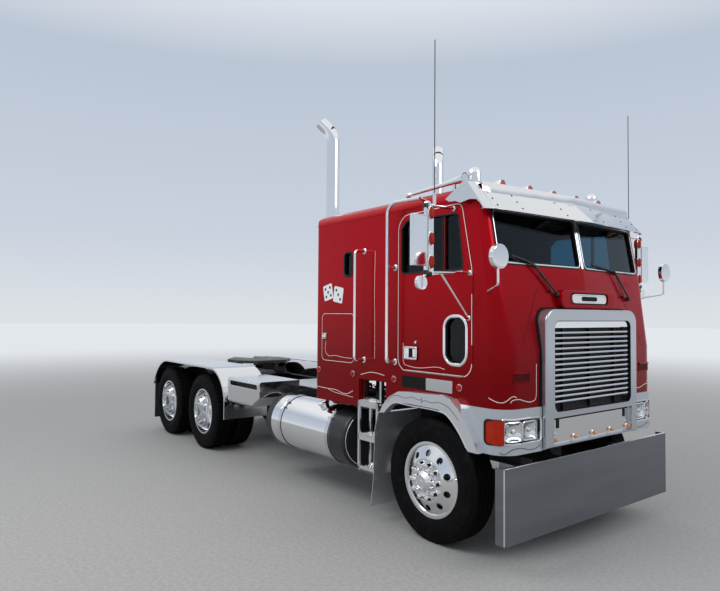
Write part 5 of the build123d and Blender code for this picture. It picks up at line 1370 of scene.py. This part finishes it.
# Doors and windows
# Rubber channels round the glass, a bright sill under it, a chromed frame round the low
# window, and a flush pull handle in a chromed cup with the lock beside it.
window_corners = (
    (-1.255, 2.315, 0.04), (-0.490, 2.315, 0.04), (-0.545, 2.795, 0.05), (-1.180, 2.805, 0.08),
    (-1.255, 2.730, 0.01),
)
channel = [(0.004, -0.024), (0.004, 0.002), (-0.004, 0.004), (-0.012, 0.002), (-0.012, -0.024)]
peep = spread(rectangle(-0.700, -0.460, 1.540, 1.930, 0.095, 10), 0.08)
cup = rectangle(-1.200, -1.030, 1.546, 1.662, 0.016)
sleeper_pane = spread(rectangle(-2.140, -2.000, 2.335, 2.580, 0.05), 0.1)
lock_profile = [(0.013, -0.001), (0.013, 0.004), (0.010, 0.006), (0.0, 0.006)]
for side, sign in sides:
    out, door = (0, sign, 0), f"door_{side}"
    rubber_form, chrome_form, dark_form = bmesh.new(), bmesh.new(), bmesh.new()
    moulding(rubber_form, on_side(spread(rounded(window_corners), 0.15), sign), out, channel, closed=True)
    for x in (-0.735, -0.709):
        low, high = (at(x, sign * (half_cab - 0.010), z) for z in (2.317, 2.800))
        rod_between(rubber_form, low, high, 0.006)
    sill = [at(-0.95 + 0.092 * k, sign * half_cab, 2.300) for k in range(6)]
    moulding(chrome_form, sill, out, bead(0.013, 0.010))
    moulding(chrome_form, on_side(inset_outline(peep, -0.006), sign), out, bead(0.013, 0.009), closed=True)
    moulding(
        rubber_form, on_side(inset_outline(peep, 0.008), sign, -0.004), out, bead(0.008, 0.006, 0.02),
        closed=True,
    )
    moulding(
        chrome_form, on_side(inset_outline(cup, 0.008), sign, 0.012), out, bead(0.008, 0.004), closed=True
    )
    # Painted shade: the cup's floor is a near-black plate.
    plate(dark_form, on_side(inset_outline(cup, 0.014), sign, 0.003), out, 0.001, 0.0003)
    for low, high, rise in ((-1.182, -1.135, 0.011), (-1.088, -1.048, 0.006)):
        leaf = rectangle(low, high, 1.560, 1.648, 0.006, 3)
        plate(chrome_form, on_side(leaf, sign, 0.004), out, rise, 0.003)
    lathe(chrome_form, lock_profile, at(-1.060, sign * half_cab, 1.700), out, 20)
    piece(f"door_channels_{side}", door, strip_rubber, rubber_form)
    piece(f"door_brightwork_{side}", door, chrome, chrome_form)
    piece(f"door_handle_well_{side}", door, shade_and_print_black, dark_form)
    rubber_form, seam_form = bmesh.new(), bmesh.new()
    moulding(rubber_form, on_side(sleeper_pane, sign), out, bead(0.011, 0.005, 0.02), closed=True)
    for outline in (door_outline, locker_outline):
        gap_line = on_side(inset_outline(outline, -0.004), sign, -0.004)
        moulding(rubber_form, gap_line, out, bead(0.0032, 0.003, 0.01), closed=True)
    rail = [(-2.640 + 0.222 * k, 2.905) for k in range(11)]
    moulding(seam_form, on_side(rail, sign), out, bead(0.004, 0.004))
    for n in range(-8, 59):
        dome(seam_form, at(-2.20 + 0.03 * n, sign * half_cab, 2.918), out, 0.003, 0.0015)
    piece(f"side_rubbers_{side}", "cab", strip_rubber, rubber_form)
    piece(f"side_seams_{side}", "cab", candy_red, seam_form)
    for low, high, finish, label in (
        (-1.237, -0.930, shade_and_print_black, "dark"), (-0.924, -0.612, mirror_stainless, "pale")
    ):
        form = bmesh.new()
        plate(form, on_side(rectangle(low, high, 1.293, 1.397, 0.006, 3), sign), out, 0.003)
        piece(f"blank_plate_{label}_{side}", "cab", finish, form)
    form = bmesh.new()
    keeper = rectangle(-2.512, -2.448, 1.688, 1.742, 0.01, 3)
    moulding(form, on_side(keeper, sign, 0.008), out, bead(0.004, 0.003), closed=True)
    leaf = rectangle(-2.500, -2.460, 1.700, 1.730, 0.005, 3)
    plate(form, on_side(leaf, sign, 0.008), out, 0.004, 0.002)
    piece(f"locker_latch_{side}", f"locker_door_{side}", chrome, form)

# Mirrors
# Bright shells with silvered glass facing back, and three amber lamps on each bar.
silvered = Finish("mirror_glass")
mirror_glass = silvered.surface(
    Base_Color=(0.88, 0.90, 0.91), Metallic=1.0, Roughness=silvered.noise(3, 2) * 0.01 + 0.008
)
head_span, head_z, head_back_x, head_front_x = (0.480, 0.608), (2.323, 2.704), -0.466, -0.430
round_glass = [(0.050, 0.0), (0.050, 0.002), (0.035, 0.004), (0.0, 0.006)]
round_rim = [(0.0545, -0.004), (0.0545, 0.003), (0.050, 0.005), (0.048, 0.0)]
lamp_bar_out, bar_lamp_z = 0.423, (2.730, 2.530, 2.350)
arm_foot = [(0.022, -0.001), (0.022, 0.003), (0.013, 0.010)]
corner_glass = [(0.086, 0.0), (0.086, 0.002), (0.06, 0.006), (0.03, 0.008), (0.0, 0.009)]
corner_rim = [(0.0925, -0.006), (0.0925, 0.003), (0.088, 0.005), (0.085, 0.0)]
corner_shell = [(0.0915, 0.0), (0.085, 0.0022), (0.065, 0.0042), (0.035, 0.0055), (0.0, 0.006)]
for side, sign in sides:
    door = f"door_{side}"
    glass_form, rim_form, lamp_form, dark_form = bmesh.new(), bmesh.new(), bmesh.new(), bmesh.new()
    head = rectangle(*sorted(sign * (half_cab + y) for y in head_span), *head_z, 0.012, 4)
    plate(glass_form, facing(head_back_x, head), (-1, 0, 0), 0.002, 0.001)
    moulding(rim_form, facing(head_back_x, head), (-1, 0, 0), bead(0.004, 0.005), closed=True)
    moulding(rim_form, facing(head_front_x, head), (1, 0, 0), bead(0.004, 0.003), closed=True)
    round_middle = at(-0.462, sign * (half_cab + 0.512), 2.190)
    lathe(glass_form, round_glass, round_middle, (-1, 0, 0), 32)
    lathe(rim_form, round_rim, round_middle, (-1, 0, 0), 32, closed=True)
    bar_y = sign * (half_cab + lamp_bar_out)
    for z in bar_lamp_z:
        for x, ahead, height in ((-0.433, 1, 0.020), (-0.467, -1, 0.016)):
            lens(lamp_form, at(x, bar_y, z), (ahead, 0, 0), (0, 1, 0), 0.024, 0.048, height, 2.6)
        inner = at(-0.450, bar_y + sign * -0.027, z)
        lens(lamp_form, inner, (0, -sign, 0), (1, 0, 0), 0.012, 0.042, 0.006, 2.6)
        oval = [(0.028 * math.cos(k * math.pi / 12), 0.052 * math.sin(k * math.pi / 12)) for k in range(24)]
        oval = [at(-0.434, bar_y + a, z + b) for a, b in oval]
        moulding(rim_form, oval, (1, 0, 0), bead(0.004, 0.005), closed=True)
    for x, z in ((-0.425, 2.288), (-0.600, 2.832), (-0.434, 1.922)):
        lathe(rim_form, arm_foot, at(x, sign * half_cab, z), (0, sign, 0), 20)
    for z in (2.270, 2.785):
        clamp_middle = at(-0.450, sign * (half_cab + 0.470), z)
        lathe(dark_form, [(0.020, -0.016), (0.020, 0.016)], clamp_middle, (0, 0, 1), 16)
    clamp = [(0.022, -0.03), (0.026, -0.01), (0.026, 0.01), (0.022, 0.03)]
    lathe(dark_form, clamp, at(-0.455, sign * (half_cab + 0.440), 2.262), (0, 1, 0), 16)
    piece(f"door_mirror_glass_{side}", door, mirror_glass, glass_form)
    piece(f"door_mirror_rims_{side}", door, chrome, rim_form)
    piece(f"door_mirror_lamps_{side}", door, amber_lens, lamp_form)
    piece(f"door_mirror_clamps_{side}", door, wiper_black, dark_form)
    form, rim_form = bmesh.new(), bmesh.new()
    back, front = (at(x, sign * (half_cab + 0.127), 2.384) for x in (-0.036, -0.006))
    lathe(form, corner_glass, back, (-1, 0, 0), 40)
    lathe(rim_form, corner_rim, back, (-1, 0, 0), 40, closed=True)
    lathe(rim_form, corner_shell, front, (1, 0, 0), 40)
    piece(f"corner_mirror_glass_{side}", "cab", mirror_glass, form)
    piece(f"corner_mirror_shell_{side}", "cab", mirror_stainless, rim_form)

# Roof, bars and steps
# Chromed bullet lamps with red fronts, trumpet horns painted dark inside the bell as shade,
# feet with two bolts under each bar, and pierced treads on the steps.
form, rim_form, dark_form = bmesh.new(), bmesh.new(), bmesh.new()
roof_lamp_y, roof_lamp_z, horn_y, horn_z = (-0.74, -0.36, 0.0, 0.36, 0.74), 3.0625, 1.030, 3.1005
roof_lamp_shell = [
    (0.0, -0.135), (0.014, -0.128), (0.030, -0.085), (0.040, -0.030), (0.0435, 0.0), (0.0435, 0.012),
    (0.038, 0.013), (0.038, 0.004), (0.0, 0.004),
]
horn_throat = [(0.047, 0.0008), (0.040, -0.004), (0.020, -0.008), (0.0, -0.009)]
horn_lip = [(0.0525, -0.004), (0.0535, 0.001), (0.0500, 0.003), (0.0465, 0.0)]
dome_foot = [(0.064, 0.0), (0.064, 0.006), (0.059, 0.008)]
for y in roof_lamp_y:
    lens(form, at(-0.421, y, roof_lamp_z), (1, 0, 0), (0, 1, 0), 0.037, 0.037, 0.010)
    lathe(rim_form, roof_lamp_shell, at(-0.427, y, roof_lamp_z), (1, 0, 0), 28)
for side, sign in sides:
    # Painted shade: a dark cone inside each horn's bell.
    lathe(dark_form, horn_throat, at(-0.5735, sign * horn_y, horn_z), (1, 0, 0.05), 32)
    lathe(rim_form, horn_lip, at(-0.575, sign * horn_y, horn_z), (1, 0, 0.05), 32, closed=True)
    lathe(rim_form, dome_foot, at(-0.590, sign * 0.900, 3.0185), (0, 0, 1), 32)
piece("roof_lamp_fronts", "cab", red_lens, form)
piece("roof_rims", "cab", chrome, rim_form)
piece("horn_throats", "cab", shade_and_print_black, dark_form)
form = bmesh.new()
bar_foot = [(0.030, -0.001), (0.030, 0.003), (0.026, 0.006), (0.017, 0.008), (0.017, 0.016)]
for side, sign in sides:
    for x, z in ((-1.335, 1.510), (-1.335, 2.380), (-1.800, 1.500), (-1.800, 2.570)):
        lathe(form, bar_foot, at(x, sign * half_cab, z), (0, sign, 0), 24)
        for dx in (-0.021, 0.021):
            bolt(form, at(x + dx, sign * (half_cab + 0.004), z), (0, sign, 0), 0.005, 0.005)
piece("bar_feet", "cab", chrome, form)
ladder_x, ladder_y, ladder_z = (-1.874, -1.568), (0.990, 1.158), (0.420, 1.105)
rung_tops = (0.455, 0.780, 1.105)
front, back = ladder_x[1] - 0.013, ladder_x[0] + 0.013
low, high = ladder_z[0] + 0.012, ladder_z[1] - 0.010
bend = 0.040
loop = [(back, high)]
for k in range(7):
    angle = k * math.pi / 12
    loop.append((back + bend - bend * math.cos(angle), low + bend - bend * math.sin(angle)))
loop += [(front - x + back, z) for x, z in reversed(loop)]
tube = [(-0.013, -0.012), (-0.013, 0.008), (-0.009, 0.012), (0.009, 0.012), (0.013, 0.008), (0.013, -0.012)]
post_section = [(-0.013, -0.02), (-0.013, 0.018), (0.013, 0.018), (0.013, -0.02)]
for side, sign in sides:
    form = bmesh.new()
    for y in (ladder_y[1] - 0.012, ladder_y[0] + 0.012):
        moulding(form, beside(sign * y, loop), (0, sign, 0), tube)
    for top in rung_tops:
        lip_low, lip_high = max(top - 0.060, ladder_z[0] + 0.002), max(top, ladder_z[0] + 0.052)
        for y, outwards in ((ladder_y[1] - 0.002, sign), (ladder_y[0] + 0.002, -sign)):
            face = beside(sign * y, rectangle(back, front, lip_low, lip_high, 0.004, 3))
            plate(form, face, (0, outwards, 0), 0.002, 0.001, 0.004)
        near, far = ladder_y[0], ladder_y[1] - 0.001
        tread_corners = ((back, near), (front, near), (front, far), (back, far))
        tread_line = [at(x, sign * y, top - 0.0035) for x, y in tread_corners]
        plate(form, tread_line, (0, 0, 1), 0.0035, 0.001, 0.004)
    for x in (back + 0.014, front - 0.014):
        post = [at(x, sign * 1.080, z) for z in (1.090, 1.220, 1.345)]
        moulding(form, post, (0, sign, 0), post_section)
    made = piece(f"step_ladder_{side}", "cab", polished_aluminium, form)
    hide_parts("steps")
form = bmesh.new()
top_eyelet, face_eyelet = (
    [(0.0095, 0.0), (0.0085, rise), (0.0060, rise), (0.0050, 0.0)] for rise in (0.003, 0.002)
)
for side, sign in sides:
    for z in rung_tops:
        for a in range(9):
            for b in range(4):
                centre = at(-1.845 + 0.031 * a, sign * (1.020 + 0.036 * b), z - 0.0005)
                lathe(form, top_eyelet, centre, (0, 0, 1), 8)
    for z in rung_tops:
        for a in range(8):
            lathe(form, face_eyelet, at(-1.83 + 0.034 * a, sign * 1.1598, z - 0.0175), (0, sign, 0), 8)
piece("step_treads", "cab", chrome, form)

# Boxes behind the tanks
# Polished sheet with rows of bolts, and a toe slot backed by a black sheet as painted shade,
# with a bright bead round it.
bolts_form, slot_form = bmesh.new(), bmesh.new()
for side, sign in sides:
    for k in range(7):
        z = 1.040 if k in (0, 6) else 1.082
        dome(bolts_form, at(-4.60 + 0.13 * k, sign * 1.215, z), (0, sign, 0), 0.007, 0.004)
        dome(bolts_form, at(-4.62 + 0.125 * k, sign * 1.215, 0.790), (0, sign, 0), 0.007, 0.004)
    # Painted shade: a black sheet set back in each toe slot stands in for the shade inside it.
    slot_line = beside(sign * 1.130, rectangle(-4.598, -3.842, 0.997, 1.063, 0.033))
    plate(slot_form, slot_line, (0, sign, 0), 0.003)
    edge = beside(sign * 1.214, rectangle(-4.600, -3.840, 0.995, 1.065, 0.034))
    moulding(bolts_form, edge, (0, sign, 0), bead(0.005, 0.003), closed=True)
piece("box_bolts", "chassis", chrome, bolts_form)
piece("box_slot_shade_linings", "chassis", strip_rubber, slot_form)

# Flares
# A rolled bead runs round each arch, with small bolts up the splash sheet's edge, and dark
# painted scrolls lie above it.
form = bmesh.new()
flare_arc = [
    (-0.372, 0.885), (-0.400, 0.919), (-0.474, 1.015), (-0.583, 1.115), (-0.697, 1.147), (-1.060, 1.151),
    (-1.229, 1.155), (-1.328, 1.107), (-1.398, 1.044),
]
rolled_edge = [
    (0.006 * math.cos(2 * math.pi * k / 8), 0.006 * math.sin(2 * math.pi * k / 8)) for k in range(8)
]
for side, sign in sides:
    line = on_side(flowing(flare_arc, 4), sign, 0.079)
    moulding(form, line, (0, sign, 0), rolled_edge)
    for x, z in (
        (-1.520, 0.96), (-1.5465, 0.82), (-1.5515, 0.68), (-1.5535, 0.54), (-1.560, 0.40), (-1.572, 0.27)
    ):
        dome(form, at(x + 0.010, sign * 1.185, z), (1, 0, 0), 0.007, 0.004)
piece("flare_beads", "cab", flare_silver_painted_lighter, form)
form = bmesh.new()
scroll = (
    (
        (-1.345, 1.150), (-1.290, 1.205), (-1.200, 1.222), (-1.110, 1.208), (-1.020, 1.228), (-0.930, 1.212),
        (-0.895, 1.222),
    ),
    (
        (-0.895, 1.196), (-0.860, 1.215), (-0.770, 1.206), (-0.690, 1.218), (-0.600, 1.200), (-0.530, 1.158),
        (-0.470, 1.100),
    ),
)
for side, sign in sides:
    for points in scroll:
        moulding(form, on_side(flowing(points), sign, 0.080), (0, sign, 0), stripe_section(0.0026))
    stem_line = on_side([(-0.895, z) for z in (1.185, 1.205, 1.240)], sign, 0.080)
    moulding(form, stem_line, (0, sign, 0), stripe_section(0.0022))
piece("flare_scrolls", "cab", dark_enamel, form)

# Inside the cab
# Grained dark vinyl on the floor and the dashboard, a row of pale dials in bright rims, and
# buttoned grey vinyl on the walls and the ceiling, painted darker in the hollows between the
# buttons as shade.
trim_vinyl = Finish("cab_trim")
cab_trim = trim_vinyl.surface(
    Base_Color=trim_vinyl.mottle((0.030, 0.028, 0.027), (0.055, 0.05, 0.047), 4, 4),
    Roughness=0.62, Normal=trim_vinyl.bump(trim_vinyl.noise(300, 2), 0.0006),
)
dress(cab_trim, "cab_floor", "dashboard", "seat_bases")
lining = Finish("wall_vinyl")
# Painted shade: the colour follows the buttons' height, darker in the hollows between them.
tufts = lining.ripple("Z", 0.16) * lining.ripple("X", 0.16)
wall_vinyl = lining.surface(
    Base_Color=lining.mix(tufts, (0.035, 0.038, 0.042), (0.06, 0.064, 0.07)),
    Roughness=0.55, Normal=lining.bump(tufts, 0.02),
)
form = bmesh.new()
ceiling = [at(x, y, 2.985) for x, y in ((-0.42, -1.06), (-0.42, 1.06), (-2.60, 1.06), (-2.60, -1.06))]
plate(form, ceiling, (0, 0, -1), 0.012, 0.004)
rear_wall = facing(-2.632, ((-1.08, 1.80), (1.08, 1.80), (1.08, 2.95), (-1.08, 2.95)))
plate(form, rear_wall, (1, 0, 0), 0.012, 0.004)
for side, sign in sides:
    for low, high in ((-2.60, -2.17), (-1.97, -1.34)):
        wall = beside(sign * 1.112, ((low, 1.70), (high, 1.70), (high, 2.95), (low, 2.95)))
        plate(form, wall, (0, -sign, 0), 0.012, 0.004)
piece("cab_lining", "cab", wall_vinyl, form)
dial_form, face_form = bmesh.new(), bmesh.new()
dash_out = Vector((-0.64, 0, 0.77)).normalized()
dial_rim = [(0.036, -0.004), (0.038, 0.006), (0.033, 0.008), (0.032, 0.003)]
for k in range(7):
    centre = at(-0.495, 0.33 + 0.09 * k, 2.245)
    lathe(dial_form, dial_rim, centre, dash_out, 24, closed=True)
    lathe(face_form, [(0.032, 0.002), (0, 0.002)], centre, dash_out, 24)
piece("dial_rims", "cab", chrome, dial_form)
piece("dial_faces", "cab", insert_enamel, face_form)

# Seats and bunk
# Foam cushions in woven cloth on the seats, and a mattress of the same cloth on the bunk.
cloth = Finish("seat_cloth")
weave = cloth.ripple("Z", 0.004) * cloth.ripple("Y", 0.004)
seat_cloth = cloth.surface(
    Base_Color=cloth.mottle((0.085, 0.086, 0.092), (0.14, 0.14, 0.15), 30, 4),
    Roughness=0.9, Normal=cloth.bump(weave, 0.0008),
)
swell_cap = 0.010
cloth_frames = 20


def cushion_form(low, high, pull):
    """A cushion block whose sides are drawn in, ready to be blown up."""
    form = bmesh.new()
    bmesh.ops.create_cube(form, size=1)
    bmesh.ops.subdivide_edges(form, edges=form.edges, cuts=7, use_grid_fill=True)
    size = high - low
    for vert in form.verts:
        unit = vert.co * 2
        squares = [unit[k] ** 2 for k in range(3)]
        pinch = [1 - pull * squares[k - 2] * 0.5 - pull * squares[k - 1] * 0.5 for k in range(3)]
        vert.co = low + size / 2 + Vector([unit[k] * size[k] / 2 * pinch[k] for k in range(3)])
    return form


def blown(made, voxel):
    """Blows a cushion up with Cloth, each point kept within the cap of where it was."""
    scene = bpy.context.scene
    bpy.context.view_layer.objects.active = made
    remesh = made.modifiers.new("voxels", "REMESH")
    remesh.mode, remesh.voxel_size = "VOXEL", voxel
    for other in bpy.context.selected_objects:
        other.select_set(False)
    made.select_set(True)
    bpy.ops.object.modifier_apply(modifier=remesh.name)
    before = [v.co.copy() for v in made.data.vertices]
    sim = made.modifiers.new("cloth", "CLOTH")
    sim.settings.use_pressure = True
    sim.settings.uniform_pressure_force = 4
    sim.settings.effector_weights.gravity = 0
    sim.point_cache.frame_start, sim.point_cache.frame_end = 1, cloth_frames
    for number in range(1, cloth_frames + 1):
        scene.frame_set(number)
    seen = made.evaluated_get(bpy.context.evaluated_depsgraph_get())
    after = [v.co.copy() for v in seen.data.vertices]
    made.modifiers.remove(sim)
    for vert, old, new in zip(made.data.vertices, before, after):
        move = new - old
        vert.co = old + move * min(1.0, swell_cap / max(move.length, 1e-6))
    scene.frame_set(1)
    smooth = made.modifiers.new("smooth", "SUBSURF")
    smooth.levels = smooth.render_levels = 1
    bpy.ops.object.modifier_apply(modifier=smooth.name)
    for polygon in made.data.polygons:
        polygon.use_smooth = True


for side, sign in sides:
    y_low, y_high = sorted((sign * 0.488, sign * 0.888))
    for label, low, high in (
        ("cushion", at(-1.415, y_low, 1.735), at(-0.935, y_high, 1.845)),
        ("back", at(-1.538, y_low, 1.775), at(-1.445, y_high, 2.585)),
    ):
        made = piece(f"seat_{label}_{side}", "cab", seat_cloth, cushion_form(low, high, 0.05))
        blown(made, 0.012)
        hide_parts("seats")
bunk_low, bunk_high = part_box("bunk")
margin = Vector((0.012, 0.012, 0.012))
made = piece(
    "mattress", "cab", seat_cloth, cushion_form(bunk_low + margin, bunk_high - margin, 0.02)
)
blown(made, 0.02)
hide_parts("bunk")
